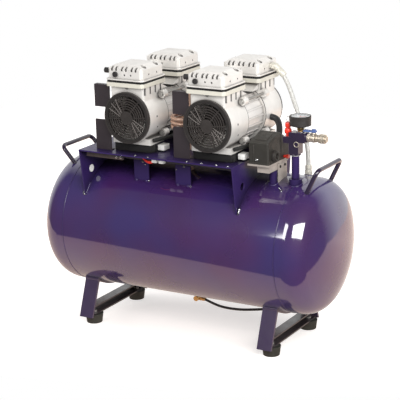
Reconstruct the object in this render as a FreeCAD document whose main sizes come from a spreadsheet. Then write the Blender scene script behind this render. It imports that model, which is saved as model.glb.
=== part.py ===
import FreeCAD, Part
import math
import os
from types import SimpleNamespace

import Sketcher
from FreeCAD import Placement, Rotation, Vector

# Dental air compressor: two twin-head oil-free pumps on a lying receiver, in millimetres.
# X runs along the receiver, Y to the back, Z up. The origin is on the floor, at the middle.

SIZES = {
    # Receiver
    "tank_radius": 150, "tank_wall": 3, "shell_length": 535, "end_straight": 17,
    "crown_radius": 268, "knuckle_radius": 51,
    "tank_height": 229,
    # Legs and feet
    "foot_spread": 462, "foot_track": 182, "foot_tall": 21, "foot_top_radius": 21,
    "foot_bottom_radius": 18, "foot_screw_radius": 4, "foot_head_radius": 7, "foot_recess_radius": 8,
    "foot_recess": 8,
    "strap_width": 35, "strap_thick": 5, "strap_lower_end": 18, "strap_reach": 120, "cradle_angle": 66,
    "strap_shift": -4, "bend_shift": 1.5, "channel_width": 24, "channel_tall": 22, "channel_wall": 3,
    "channel_inset": 15.4,
    # Lifting handles
    "handle_radius": 5, "handle_width": 118, "handle_rise": 62, "handle_bend": 13,
    "handle_left_reach": 13.5, "handle_right_reach": 31.5, "handle_left_lean": 42, "handle_right_lean": 26,
    # Pump deck
    "deck_left": 221, "deck_right": 168, "deck_depth": 278, "deck_rise": 43, "deck_sheet": 3,
    "saddle_foot": 122.5, "saddle_hole_radius": 9, "saddle_hole_y": 95, "saddle_hole_drop": 52,
    "tab_width": 38, "tab_left_x": -92.5, "tab_right_x": 14.5, "tab_y": 82,
    "weld_sink": 1, "coil_hole_radius": 6,
    # Upright baffle plates
    "baffle_outer": 90, "baffle_inner": 50, "baffle_y": 112, "baffle_rise": 67, "baffle_sheet": 2,
    "notch_below": 11, "notch_above": 17, "notch_depth": 27, "baffle_flange": 12, "baffle_gap": 3,
    # Pump units
    "unit_spread": 200, "unit_back": -4, "shaft_rise": 79, "base_drop": 61, "head_pitch": 155,
    "case_inner": 40, "case_outer": 115, "drum_radius": 58, "case_bore": 48, "case_wall": 11,
    "neck_width": 86, "neck_tall": 69, "neck_corner": 7, "base_width": 96, "base_thick": 14,
    "base_inner": 45, "base_outer": 103,
    "vent_width": 6, "vent_pitch": 21, "vent_low": 51, "vent_high": 67, "vent_count": 4,
    "shoulder_reach": 28, "shoulder_low": 53, "shoulder_high": 66,
    "lug_radius": 9, "lug_length": 15, "lug_high_x": 50, "lug_high_z": 45, "lug_low_x": 50.5, "lug_low_z": 41,
    "barrel_radius": 50, "barrel_wall": 4, "rib_tall": 2.5, "rib_thick": 3, "rib_count": 18,
    "stator_bore": 26, "stator_stack": 50, "winding_radius": 40, "winding_bore": 29, "winding_length": 6,
    "rotor_gap": 0.5, "rotor_length": 50, "shaft_radius": 7.5, "shaft_reach": 113,
    "bearing_radius": 17.5, "running_gap": 0.05,
    "crank_offset": 8, "crank_radius": 18, "crank_width": 16, "big_end_radius": 25,
    "rod_reach": 60, "rod_thick": 12, "piston_radius": 29.8, "piston_thick": 8,
    "liner_radius": 32, "liner_bore": 30, "liner_length": 24,
    "fan_radius": 43, "fan_hub_radius": 15, "fan_width": 11, "blade_thick": 2, "blade_chord": 12,
    "blade_twist": 32, "blade_count": 7,
    "guard_radius": 57, "guard_thick": 6, "grille_thick": 3, "guard_rim": 9, "guard_hub": 15,
    "guard_ring": 2.4, "guard_bar": 2.4, "guard_rings": 5,
    "head_width": 96, "head_depth": 98, "head_corner": 6, "plate_thick": 9, "gasket_thick": 5,
    "head_side": 25, "head_crown": 33, "head_lip": 4, "lip_thick": 3, "roof_run": 14,
    "slot_width": 4.4, "slot_depth": 8, "slot_low": 20, "slot_gap": 10.4, "slot_group": 25,
    "slot_shift": -1.5,
    "head_bolt_x": 36, "head_bolt_y": 24, "head_bolt_radius": 5, "head_bolt_seat": 6,
    "head_bolt_recess": 3,
    "crossover_radius": 7, "crossover_x": 30, "crossover_z": 11, "crossover_wall": 2,
    "silencer_radius": 6, "silencer_length": 12, "silencer_y": 34, "silencer_z": 18,
    "port_radius": 5.8, "port_x": 23, "port_z": 12.5, "port_length": 4,
    "screw_hole_radius": 2, "screw_hole_depth": 4, "screw_hole_z": 12, "screw_hole_gap": 16,
    "tie_radius": 3, "tie_head_radius": 5.5, "tie_head": 5,
    "mount_radius": 12.5, "mount_x": 35, "mount_y": 86, "nut_radius": 8, "nut_thick": 6,
    "lead_radius": 4.5, "lead_gap": 4.8, "lead_low": 11, "lead_spread": 13, "lead_reach": 96, "lead_bend": 12,
    # Cooling coil between the units
    "coil_radius": 28, "coil_tube": 4, "coil_pitch": 10, "coil_turns": 3, "coil_x": 6, "coil_y": -58,
    "coil_drop": 27, "coil_steps": 8,
    # Pressure switch
    "switch_x": 203.5, "switch_y": -40, "switch_rise": 42, "switch_width": 48, "switch_depth": 97,
    "switch_tall": 61, "switch_ridge": 7, "switch_front": 48, "switch_back": 39, "switch_edge": 4,
    "switch_base": 4, "base_lip": 1.5, "switch_pipe_x": 216, "switch_pipe_y": -45, "pipe_radius": 8.5,
    "diaphragm_x": 211, "diaphragm_y": -56, "diaphragm_width": 28, "diaphragm_depth": 50,
    "diaphragm_tall": 15,
    "knob_radius": 4.5, "knob_stem": 3, "knob_length": 11, "knob_head": 5, "knob_gap": 0.3,
    "knob_inset": 25, "knob_lift": 5, "gland_radius": 12, "gland_bore": 6.5,
    "gland_length": 6,
    # Outlet manifold
    "manifold_x": 264, "manifold_y": -35, "socket_radius": 14, "socket_tall": 10, "block_rise": 61,
    "block_left": 10, "block_right": 12, "block_depth": 23, "block_tall": 47,
    "arm_left": 23.5, "arm_right": 27,
    "arm_left_low": 23, "arm_left_high": 37, "arm_right_low": 26, "seal_tall": 2.4, "seal_lip": 0.6,
    "gauge_x": 276, "gauge_radius": 23, "gauge_rise": 10, "gauge_cone": 5, "gauge_tall": 21,
    "gauge_wall": 1.6, "stem_radius": 5, "stem_nut": 8, "lens_thick": 1.6, "dial_recess": 5,
    "needle_length": 15, "needle_thick": 0.8, "needle_width": 1.6, "needle_lift": 1.4,
    "relief_inset": 6.5, "relief_radius": 6.5, "relief_nut": 5.5, "relief_base": 5, "relief_waist": 4,
    "relief_knob": 11, "relief_gap": 2, "relief_step": 1, "ring_radius": 6, "ring_wire": 0.8,
    "cock_radius": 9, "cock_length": 20, "cock_drop": 10, "pivot_inset": 4, "pivot_radius": 3,
    "pivot_nut": 5, "lever_length": 28, "lever_width": 11, "lever_thick": 3, "lever_lift": 4,
    "coupler_radius": 7, "coupler_length": 26, "sleeve_radius": 9.5,
    "sleeve_length": 14, "sleeve_travel": 3,
    # Hoses and drain
    "cable_radius": 7, "hose_radius": 5, "hose_fitting_radius": 7.5, "hose_fitting_length": 10,
    "elbow_reach": 8, "elbow_shift": 14, "elbow_lift": 14,
    "drain_radius": 9, "drain_tall": 17, "drain_tap_radius": 6, "drain_tap_length": 9,
    "drain_tube_radius": 3, "drain_outlet": 6, "drain_spout": 12,
}

doc = FreeCAD.newDocument("dental_air_compressor")
sheet = doc.addObject("Spreadsheet::Sheet", "Sizes")
for row, (title, number) in enumerate(SIZES.items(), 1):
    sheet.set(f"A{row}", title)
    sheet.set(f"B{row}", str(number))
    sheet.setAlias(f"B{row}", title)


class Size:
    """A length that knows both its number and the sheet formula behind it."""

    def __init__(self, value, text):
        self.value = value
        self.text = text

    def __add__(self, other):
        other = as_size(other)
        return Size(self.value + other.value, f"({self.text} + {other.text})")

    def __sub__(self, other):
        other = as_size(other)
        return Size(self.value - other.value, f"({self.text} - {other.text})")

    def __mul__(self, other):
        other = as_size(other)
        return Size(self.value * other.value, f"({self.text} * {other.text})")

    def __truediv__(self, other):
        other = as_size(other)
        return Size(self.value / other.value, f"({self.text} / {other.text})")

    def __radd__(self, other):
        return as_size(other) + self

    def __rsub__(self, other):
        return as_size(other) - self

    def __rmul__(self, other):
        return as_size(other) * self

    def __neg__(self):
        return as_size(0) - self


def as_size(number):
    return number if isinstance(number, Size) else Size(float(number), repr(float(number)))


def root(square):
    return Size(math.sqrt(square.value), f"sqrt({square.text})")


def sine(angle):
    return Size(math.sin(math.radians(angle.value)), f"sin({angle.text})")


def cosine(angle):
    return Size(math.cos(math.radians(angle.value)), f"cos({angle.text})")


s = SimpleNamespace(**{title: Size(float(number), f"Sizes.{title}") for title, number in SIZES.items()})

# Turns that lay a shape built along Z onto another axis
ALONG_X = Rotation(Vector(0, 1, 0), 90)
ALONG_MINUS_X = Rotation(Vector(0, 1, 0), -90)
ALONG_Y = Rotation(Vector(1, 0, 0), -90)
UPRIGHT = Rotation(Vector(1, 0, 0), 90)
HALF_TURN = Rotation(Vector(0, 0, 1), 180)

nodes = {}


def bind(item, prop, size):
    item.setExpression(prop, as_size(size).text)


def place(item, at, turn=None):
    if turn is not None:
        item.Placement = Placement(Vector(), turn)
    for axis, size in zip("xyz", at):
        bind(item, f"Placement.Base.{axis}", size)
    return item


def keep(item, name):
    """Registers an object as a sub-part of the finished compressor."""
    item.Label = name
    nodes[name] = item
    return item


# Primitive shapes and booleans

def solid(kind, at=(0, 0, 0), turn=None, **sizes):
    item = doc.addObject(f"Part::{kind}", kind)
    for prop, size in sizes.items():
        bind(item, prop, size)
    return place(item, at, turn)


def slab_about(pivot, turn, corner, **sizes):
    """A box whose corner is given in a frame turned about the pivot, for blades and spokes."""
    item = doc.addObject("Part::Box", "Slab")
    for prop, size in sizes.items():
        bind(item, prop, size)
    low = Vector(*[as_size(value).value for value in corner])
    item.Placement = Placement(Vector(*[as_size(value).value for value in pivot]), turn)
    item.Placement = item.Placement.multiply(Placement(low, Rotation()))
    return item


def cylinder(radius, height, at=(0, 0, 0), turn=None):
    return solid("Cylinder", at, turn, Radius=radius, Height=height)


def block(size_x, size_y, size_z, centre_x, centre_y, low_z):
    at = (centre_x - size_x / 2, centre_y - size_y / 2, low_z)
    return solid("Box", at, Length=size_x, Width=size_y, Height=size_z)


def fuse(*shapes):
    item = doc.addObject("Part::MultiFuse", "Joined")
    item.Shapes = list(shapes)
    item.Refine = True
    return item


def cut(base, *tools):
    item = doc.addObject("Part::Cut", "Trimmed")
    item.Base = base
    item.Tool = tools[0] if len(tools) == 1 else fuse(*tools)
    item.Refine = True
    return item


def group(*shapes):
    item = doc.addObject("Part::Compound", "Group")
    item.Links = list(shapes)
    return item


def pipe(radius, bore, height, at=(0, 0, 0), turn=None):
    return cut(cylinder(radius, height, at, turn), cylinder(bore, height, at, turn))


def hexagon(radius, height, at=(0, 0, 0), turn=None):
    prism = solid("Prism", at, turn, Circumradius=radius, Height=height)
    prism.Polygon = 6
    return prism


def copies(master, places):
    """One piece repeated at several placements, as a group of separate solids."""
    doc.recompute()
    item = doc.addObject("Part::Feature", "Copies")
    shapes = []
    for placement in places:
        shape = master.Shape.copy()
        shape.Placement = placement.multiply(master.Shape.Placement)
        shapes.append(shape)
    item.Shape = Part.makeCompound(shapes)
    return item


# Sketched bodies

NORMAL_SIGN = {"XY_Plane": 1, "XZ_Plane": -1, "YZ_Plane": 1}


def new_body(at=(0, 0, 0), turn=None):
    return place(doc.addObject("PartDesign::Body", "Body"), at, turn)


def sketch_on(body, role, lift=0):
    """A sketch on one of the body's own planes, lifted along that plane's world axis."""
    sketch = body.newObject("Sketcher::SketchObject", "Sketch")
    plane = [part for part in body.Origin.OriginFeatures if part.Role == role][0]
    sketch.AttachmentSupport = [(plane, "")]
    sketch.MapMode = "FlatFace"
    bind(sketch, "AttachmentOffset.Base.z", as_size(lift) * NORMAL_SIGN[role])
    return sketch


def pin(sketch, kind, geometry, point, size):
    size = as_size(size)
    if kind == "Radius":
        index = sketch.addConstraint(Sketcher.Constraint("Radius", geometry, size.value))
    else:
        index = sketch.addConstraint(Sketcher.Constraint(kind, -1, 1, geometry, point, size.value))
    sketch.setExpression(f"Constraints[{index}]", size.text)


def outline(sketch, points, arcs=None):
    """A closed outline through the points; arcs gives the centre and radius of edges that are arcs."""
    first = sketch.GeometryCount
    corners = [Vector(as_size(x).value, as_size(y).value, 0) for x, y in points]
    count = len(corners)
    arcs = arcs or {}
    for index, corner in enumerate(corners):
        after = corners[(index + 1) % count]
        edge = Part.LineSegment(corner, after)
        if index in arcs:
            centre_x, centre_y, radius = [as_size(value).value for value in arcs[index]]
            centre = Vector(centre_x, centre_y, 0)
            ends = [math.atan2(end.y - centre_y, end.x - centre_x) for end in (corner, after)]
            edge = Part.ArcOfCircle(Part.Circle(centre, Vector(0, 0, 1), radius), *ends)
        sketch.addGeometry(edge, False)
    for index in range(count):
        after = first + (index + 1) % count
        sketch.addConstraint(Sketcher.Constraint("Coincident", first + index, 2, after, 1))
    for index, (x, y) in enumerate(points):
        pin(sketch, "DistanceX", first + index, 1, x)
        pin(sketch, "DistanceY", first + index, 1, y)
        if index in arcs:
            pin(sketch, "Radius", first + index, None, arcs[index][2])
    return sketch


def ring(sketch, x, y, radius):
    centre = Vector(as_size(x).value, as_size(y).value, 0)
    index = sketch.addGeometry(Part.Circle(centre, Vector(0, 0, 1), as_size(radius).value), False)
    pin(sketch, "DistanceX", index, 3, x)
    pin(sketch, "DistanceY", index, 3, y)
    pin(sketch, "Radius", index, None, radius)
    return sketch


def rectangle(sketch, left, right, low, high):
    return outline(sketch, [(left, low), (right, low), (right, high), (left, high)])


def sketch_sign(sketch):
    return NORMAL_SIGN[sketch.AttachmentSupport[0][0].Role]


def pad(body, sketch, length, toward=1):
    """Adds material along the plane's world axis; toward 0 means half to each side."""
    feature = body.newObject("PartDesign::Pad", "Pad")
    feature.Profile = sketch
    bind(feature, "Length", length)
    if toward:
        feature.Reversed = toward != sketch_sign(sketch)
    else:
        feature.SideType = "Symmetric"
    return feature


def pocket(body, sketch, length, toward=-1):
    feature = body.newObject("PartDesign::Pocket", "Pocket")
    feature.Profile = sketch
    bind(feature, "Length", length)
    if toward:
        feature.Reversed = toward == sketch_sign(sketch)
    else:
        feature.SideType = "Symmetric"
    return feature


def edges_where(feature, test):
    doc.recompute()
    return [f"Edge{index}" for index, edge in enumerate(feature.Shape.Edges, 1) if test(edge)]


def round_edges(body, feature, radius, test, kind="Fillet"):
    edges = edges_where(feature, test)
    finish = body.newObject(f"PartDesign::{kind}", kind)
    finish.Base = (feature, edges)
    bind(finish, "Radius" if kind == "Fillet" else "Size", radius)
    return finish


def runs_along(edge, axis):
    """True for a straight edge parallel to the axis."""
    if len(edge.Vertexes) < 2 or edge.Curve.TypeId != "Part::GeomLine":
        return False
    return abs(edge.Curve.Direction.dot(axis)) > 0.999


# Bent round bar, tube and hose

def bent_path(points, radius=None):
    """Straight runs joined by tangent arcs; a free hose takes the largest arcs that fit."""
    corners = [Vector(*[as_size(value).value for value in point]) for point in points]
    edges = []
    radii = []
    start = corners[0]
    for before, corner, after in zip(corners, corners[1:], corners[2:]):
        towards = (corner - before).normalize()
        away = (after - corner).normalize()
        turn = towards.getAngle(away)
        run = min((corner - before).Length, (after - corner).Length)
        arc = 0.45 * run / math.tan(turn / 2) if radius is None else as_size(radius).value
        setback = arc * math.tan(turn / 2)
        enter = corner - towards * setback
        leave = corner + away * setback
        middle = (away - towards).normalize()
        depth = arc / math.cos(turn / 2) - arc
        edges.append(Part.LineSegment(start, enter).toShape())
        edges.append(Part.Arc(enter, corner + middle * depth, leave).toShape())
        radii.append(round(arc, 1))
        start = leave
    edges.append(Part.LineSegment(start, corners[-1]).toShape())
    return Part.Wire(edges), radii


def swept(path, radius):
    start = path.Edges[0]
    direction = start.tangentAt(start.FirstParameter)
    circle = Part.Circle(start.valueAt(start.FirstParameter), direction, as_size(radius).value)
    return path.makePipeShell([Part.Wire([circle.toShape()])], True, False)


def bar(points, radius, bend=None, title=None):
    path, radii = bent_path(points, bend)
    item = doc.addObject("Part::Feature", "Bar")
    item.Shape = swept(path, radius)
    if title:
        section = math.pi * as_size(radius).value ** 2
        error = item.Shape.Volume / (section * path.Length) - 1
        print(f"{title}: {path.Length:.0f} mm, radii {radii}, volume off by {error:.2%}")
    return item


# Receiver

shell_half = s.shell_length / 2
tank_crest = s.tank_height + s.tank_radius
deck_top = tank_crest + s.deck_rise
shaft_height = deck_top + s.shaft_rise


def dished_end(inset, side):
    """Straight flange, knuckle arc and crown arc revolved, drawn in by the inset."""
    body = new_body((shell_half * side, 0, s.tank_height), ALONG_X if side > 0 else ALONG_MINUS_X)
    radius = s.tank_radius - inset
    knuckle = s.knuckle_radius - inset
    crown = s.crown_radius - inset
    swing = s.crown_radius - s.knuckle_radius
    knuckle_x = s.tank_radius - s.knuckle_radius
    drop = root(swing * swing - knuckle_x * knuckle_x)
    join = (knuckle_x + knuckle * knuckle_x / swing, s.end_straight + knuckle * drop / swing)
    points = [(0, 0), (radius, 0), (radius, s.end_straight), join, (0, s.end_straight + crown - drop)]
    arcs = {2: (knuckle_x, s.end_straight, knuckle), 3: (0, s.end_straight - drop, crown)}
    dome = body.newObject("PartDesign::Revolution", "Dome")
    profile = outline(sketch_on(body, "XZ_Plane"), points, arcs)
    dome.Profile = profile
    dome.ReferenceAxis = (profile, ["V_Axis"])
    dome.Angle = 360
    return body


def build_receiver():
    start = (-shell_half, 0, s.tank_height)
    bore = s.tank_radius - s.tank_wall
    keep(pipe(s.tank_radius, bore, s.shell_length, start, ALONG_X), "tank_shell")
    for side, name in ((-1, "tank_end_left"), (1, "tank_end_right")):
        keep(cut(dished_end(as_size(0), side), dished_end(s.tank_wall, side)), name)


def tank_envelope():
    """The receiver as one full solid, for trimming what is welded onto it."""
    body = cylinder(s.tank_radius, s.shell_length, (-shell_half, 0, s.tank_height), ALONG_X)
    return fuse(body, dished_end(as_size(0), -1), dished_end(as_size(0), 1))


def tank_top(y):
    """Height of the receiver's upper surface at a distance from its middle plane."""
    return s.tank_height + root(s.tank_radius * s.tank_radius - as_size(y) * y)


# Legs, feet and handles

def leg_strap(foot_x):
    """One flat strip: two splayed legs and the cradle between them, under the receiver."""
    low_x = foot_x + s.strap_shift - s.strap_width / 2
    outer = s.tank_radius + s.strap_thick
    centre = (low_x, 0, s.tank_height)
    half_angle = s.cradle_angle / 2
    cradle = cut(cylinder(outer, s.strap_width, centre, ALONG_X),
                 cylinder(s.tank_radius, s.strap_width, centre, ALONG_X))
    sector = new_body((low_x, 0, 0))
    far_y = outer * 2 * sine(half_angle)
    far_z = s.tank_height - outer * 2 * cosine(half_angle)
    wedge = outline(sketch_on(sector, "YZ_Plane"), [(0, s.tank_height), (-far_y, far_z), (far_y, far_z)])
    pad(sector, wedge, s.strap_width)
    arc = doc.addObject("Part::MultiCommon", "Cradle")
    arc.Shapes = [cradle, sector]
    half_thick = s.strap_thick / 2
    bend_y = (s.tank_radius + half_thick) * sine(half_angle)
    bend_z = s.tank_height - (s.tank_radius + half_thick) * cosine(half_angle)
    toe = s.strap_reach - s.strap_thick
    legs = []
    for side in (-1, 1):
        leg = new_body((low_x, 0, 0))
        corners = [(bend_y * side, bend_z + half_thick), (bend_y * side, bend_z - half_thick),
                   (toe * side, s.strap_lower_end), (s.strap_reach * side, s.strap_lower_end),
                   ((bend_y + s.strap_thick) * side, bend_z + half_thick)]
        pad(leg, outline(sketch_on(leg, "YZ_Plane"), corners), s.strap_width)
        bend_at = (low_x, (bend_y + s.bend_shift) * side, bend_z + s.bend_shift)
        legs += [leg, cylinder(s.strap_thick, s.strap_width, bend_at, ALONG_X)]
    return fuse(arc, *legs)


def foot_channel(foot_x):
    """The channel between two feet, open to the right, as long as the room between the legs."""
    channel = new_body((foot_x, 0, s.foot_tall))
    half = s.channel_width / 2
    inside = half - s.channel_wall
    points = [(-half, 0), (half, 0), (half, s.channel_wall), (-inside, s.channel_wall),
              (-inside, s.channel_tall - s.channel_wall), (half, s.channel_tall - s.channel_wall),
              (half, s.channel_tall), (-half, s.channel_tall)]
    length = (s.strap_reach - s.channel_inset) * 2
    pad(channel, outline(sketch_on(channel, "XZ_Plane"), points), length, toward=0)
    return channel


def rubber_foot(x, y):
    cone = solid("Cone", (x, y, 0), Radius1=s.foot_bottom_radius, Radius2=s.foot_top_radius,
                 Height=s.foot_tall)
    return cut(cone, cylinder(s.foot_recess_radius, s.foot_recess, (x, y, 0)),
               cylinder(s.foot_screw_radius, s.foot_tall, (x, y, 0)))


def foot_screw(x, y):
    """Screw from below through a foot and its channel, with a washer-headed end and a nut."""
    shank = s.foot_tall + s.channel_wall - s.foot_recess
    head_tall = s.foot_recess / 2
    return fuse(cylinder(s.foot_screw_radius, shank, (x, y, s.foot_recess)),
                cylinder(s.foot_head_radius, head_tall, (x, y, s.foot_recess - head_tall)),
                hexagon(s.foot_head_radius, s.foot_screw_radius, (x, y, s.foot_tall + s.channel_wall)))


def build_legs(envelope):
    feet = []
    screws = []
    channels = []
    for side, name in ((-1, "left"), (1, "right")):
        foot_x = s.foot_spread / 2 * side
        keep(cut(leg_strap(foot_x), envelope), f"leg_strap_{name}")
        holes = []
        for back in (-1, 1):
            foot_y = s.foot_track / 2 * back
            feet.append(rubber_foot(foot_x, foot_y))
            screws.append(foot_screw(foot_x, foot_y))
            holes.append(cylinder(s.foot_screw_radius, s.channel_tall / 2, (foot_x, foot_y, s.foot_tall)))
        channels.append(cut(foot_channel(foot_x), *holes))
    keep(group(*channels), "foot_channels")
    keep(group(*feet), "rubber_feet")
    return screws


def handle(foot_x, lean, side, envelope):
    """A bent round bar that leans outward from the receiver's shoulder."""
    half = s.handle_width / 2
    foot_z = tank_top(half) - s.handle_radius * 2
    top_x = foot_x + s.handle_rise * sine(lean)
    top_z = foot_z + s.handle_rise * cosine(lean)
    points = [(foot_x * side, -half, foot_z), (top_x * side, -half, top_z),
              (top_x * side, half, top_z), (foot_x * side, half, foot_z)]
    return cut(bar(points, s.handle_radius, s.handle_bend), envelope)


def build_handles(envelope):
    left = handle(s.shell_length / 2 + s.handle_left_reach, s.handle_left_lean, -1, envelope)
    right = handle(s.shell_length / 2 + s.handle_right_reach, s.handle_right_lean, 1, envelope)
    keep(left, "lifting_handle_left")
    keep(right, "lifting_handle_right")


# Deck and baffles

deck_half = s.deck_depth / 2
deck_low = deck_top - s.deck_sheet


def build_deck(envelope):
    top = block(s.deck_left + s.deck_right, s.deck_depth, s.deck_sheet,
                (s.deck_right - s.deck_left) / 2, 0, deck_low)
    saddles = []
    saddle_low = tank_top(s.saddle_foot) - s.weld_sink
    for low_x in (-s.deck_left, s.deck_right - s.deck_sheet):
        saddle = new_body((low_x, 0, 0))
        points = [(-deck_half, deck_top), (-s.saddle_foot, saddle_low), (s.saddle_foot, saddle_low),
                  (deck_half, deck_top)]
        pad(saddle, outline(sketch_on(saddle, "YZ_Plane"), points), s.deck_sheet)
        saddles.append(saddle)
    holes = []
    for side in (-1, 1):
        at = (-s.deck_left - s.deck_sheet, s.saddle_hole_y * side, deck_top - s.saddle_hole_drop)
        through = s.deck_left + s.deck_right + s.deck_sheet * 2
        holes.append(cylinder(s.saddle_hole_radius, through, at, ALONG_X))
    stud_holes = [cylinder(s.nut_radius / 2, s.deck_sheet, (x, y, deck_low)) for x, y in mount_places()]
    coil_hole_at = (s.coil_x, s.coil_y + s.coil_radius, deck_low)
    stud_holes.append(cylinder(s.coil_hole_radius, s.deck_sheet, coil_hole_at))
    tab_low = tank_top(s.tab_y) - s.deck_sheet
    tabs = [block(s.tab_width, s.deck_sheet, deck_top - tab_low, x, s.tab_y * side, tab_low)
            for x in (s.tab_left_x, s.tab_right_x) for side in (-1, 1)]
    keep(cut(fuse(top, *saddles, *tabs), envelope, *holes, *stud_holes), "pump_deck")


def baffle(unit_x):
    """An upright plate beside the front crankcase, notched at half height and cut round the drum."""
    plate = new_body((unit_x, -s.baffle_y, 0))
    left = -s.baffle_outer
    bay = left + s.notch_depth
    top = shaft_height + s.baffle_rise
    notch_low = shaft_height - s.notch_below
    notch_high = shaft_height + s.notch_above
    points = [(left, deck_top), (-s.baffle_inner, deck_top), (-s.baffle_inner, top), (left, top),
              (left, notch_high), (bay, notch_high), (bay, notch_low), (left, notch_low)]
    pad(plate, outline(sketch_on(plate, "XZ_Plane"), points), s.baffle_sheet)
    width = s.baffle_outer - s.baffle_inner
    middle = unit_x - (s.baffle_outer + s.baffle_inner) / 2
    flange_y = -s.baffle_y + s.baffle_flange / 2
    feet = [block(width, s.baffle_flange, s.baffle_sheet, middle, flange_y, deck_top),
            block(width, s.baffle_flange, s.baffle_sheet, middle, flange_y, top - s.baffle_sheet)]
    drum = cylinder(s.drum_radius + s.baffle_gap, s.baffle_flange * 2,
                    (unit_x, -s.baffle_y - s.baffle_sheet, shaft_height), ALONG_Y)
    return cut(fuse(plate, *feet), drum)


def mount_places():
    return [(unit_x + s.mount_x * side, s.unit_back + s.mount_y * back)
            for unit_x in unit_centres for side in (-1, 1) for back in (-1, 1)]


unit_centres = (-s.unit_spread / 2, s.unit_spread / 2)
base_low = shaft_height - s.base_drop


def build_mounts():
    mounts = [cylinder(s.mount_radius, base_low - deck_top, (x, y, deck_top)) for x, y in mount_places()]
    keep(group(*mounts), "rubber_mounts")
    nuts = []
    for x, y in mount_places():
        nut = hexagon(s.nut_radius, s.nut_thick, (x, y, deck_low - s.nut_thick))
        stud = cylinder(s.nut_radius / 2, s.nut_thick + s.deck_sheet, (x, y, deck_low - s.nut_thick))
        nuts.append(fuse(nut, stud))
    return nuts


# Pump units: each has its own frame at the middle of its shaft

neck_half = s.neck_width / 2
case_middle = (s.case_inner + s.case_outer) / 2
cylinder_y = s.head_pitch / 2
gasket_low = s.neck_tall + s.plate_thick
head_low = gasket_low + s.gasket_thick
bolt_seat = head_low + s.head_side - s.head_bolt_recess
lug_centres = ((-s.lug_high_x, s.lug_high_z), (s.lug_high_x, s.lug_high_z),
               (-s.lug_low_x, -s.lug_low_z), (s.lug_low_x, -s.lug_low_z))


def crankcase(unit_x, turn):
    """Cast case: drum, neck, base and lugs, bored for the crank, the bearing and the cylinder."""
    body = new_body((unit_x, s.unit_back, shaft_height), turn)
    length = s.case_outer - s.case_inner
    pad(body, ring(sketch_on(body, "XZ_Plane", -s.case_inner), 0, 0, s.drum_radius), length, toward=-1)
    neck = sketch_on(body, "XZ_Plane", -s.case_inner)
    neck = pad(body, rectangle(neck, -neck_half, neck_half, 0, s.neck_tall), length, toward=-1)

    def neck_corner(edge):
        return (runs_along(edge, Vector(0, 0, 1)) and edge.BoundBox.ZMax > s.neck_tall.value - 1
                and abs(edge.BoundBox.YMin + s.case_outer.value) < 0.1)

    round_edges(body, neck, s.neck_corner, neck_corner)
    shoulder = outline(sketch_on(body, "YZ_Plane"), [
        (-s.case_inner, s.shoulder_low), (-s.case_inner + s.shoulder_reach, s.shoulder_low),
        (-s.case_inner, s.shoulder_high)])
    pad(body, shoulder, s.neck_width - s.neck_corner, toward=0)
    base = sketch_on(body, "XZ_Plane", -s.base_inner)
    half = s.base_width / 2
    rectangle(base, -half, half, -s.base_drop, -s.base_drop + s.base_thick)
    pad(body, base, s.base_outer - s.base_inner, toward=-1)
    lugs = sketch_on(body, "XZ_Plane", -s.case_inner)
    for x, z in lug_centres:
        ring(lugs, x, z, s.lug_radius)
    pad(body, lugs, s.lug_length, toward=-1)
    bore = ring(sketch_on(body, "XZ_Plane", -s.case_outer), 0, 0, s.case_bore)
    pocket(body, bore, length - s.case_wall, toward=1)
    seat = ring(sketch_on(body, "XZ_Plane", -s.case_outer), 0, 0, s.bearing_radius)
    pocket(body, seat, length, toward=1)
    barrel = ring(sketch_on(body, "XY_Plane", s.neck_tall), 0, -cylinder_y, s.liner_radius)
    pocket(body, barrel, s.neck_tall - s.drum_radius / 2, toward=-1)
    ties = sketch_on(body, "XZ_Plane", -s.case_inner - s.lug_length)
    for x, z in lug_centres:
        ring(ties, x, z, s.tie_radius)
    pocket(body, ties, s.lug_length, toward=1)
    vents = sketch_on(body, "YZ_Plane")
    for step in range(SIZES["vent_count"]):
        front = -case_middle + s.vent_pitch * (step - (SIZES["vent_count"] - 1) / 2)
        rectangle(vents, front - s.vent_width / 2, front + s.vent_width / 2, s.vent_low, s.vent_high)
    pocket(body, vents, s.neck_width, toward=0)
    return body


def motor_barrel(unit_x):
    """Ribbed motor housing clamped between the two crankcases."""
    length = s.case_inner * 2
    start = (unit_x, s.unit_back - s.case_inner, shaft_height)
    outer = cylinder(s.barrel_radius, length, start, ALONG_Y)
    ribs = []
    rib_count = SIZES["rib_count"]
    for step in range(rib_count):
        turn = Rotation(Vector(0, 1, 0), 360 / rib_count * (step + 0.5))
        ribs.append(slab_about(start, turn, (-s.rib_thick / 2, 0, 0),
                               Length=s.rib_thick, Width=length, Height=s.barrel_radius + s.rib_tall))
    return cut(fuse(outer, *ribs), cylinder(s.barrel_radius - s.barrel_wall, length, start, ALONG_Y))


def stator(unit_x):
    def ring_about_shaft(radius, bore, half_length):
        start = (unit_x, s.unit_back - half_length, shaft_height)
        return pipe(radius, bore, half_length * 2, start, ALONG_Y)
    core = ring_about_shaft(s.barrel_radius - s.barrel_wall, s.stator_bore, s.stator_stack / 2)
    winding = ring_about_shaft(s.winding_radius, s.winding_bore, s.stator_stack / 2 + s.winding_length)
    return fuse(core, winding)


def rotor(unit_x):
    def disc(radius, half_length):
        start = (unit_x, s.unit_back - half_length, shaft_height)
        return cylinder(radius, half_length * 2, start, ALONG_Y)
    return fuse(disc(s.shaft_radius, s.shaft_reach), disc(s.stator_bore - s.rotor_gap, s.rotor_length / 2))


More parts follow.
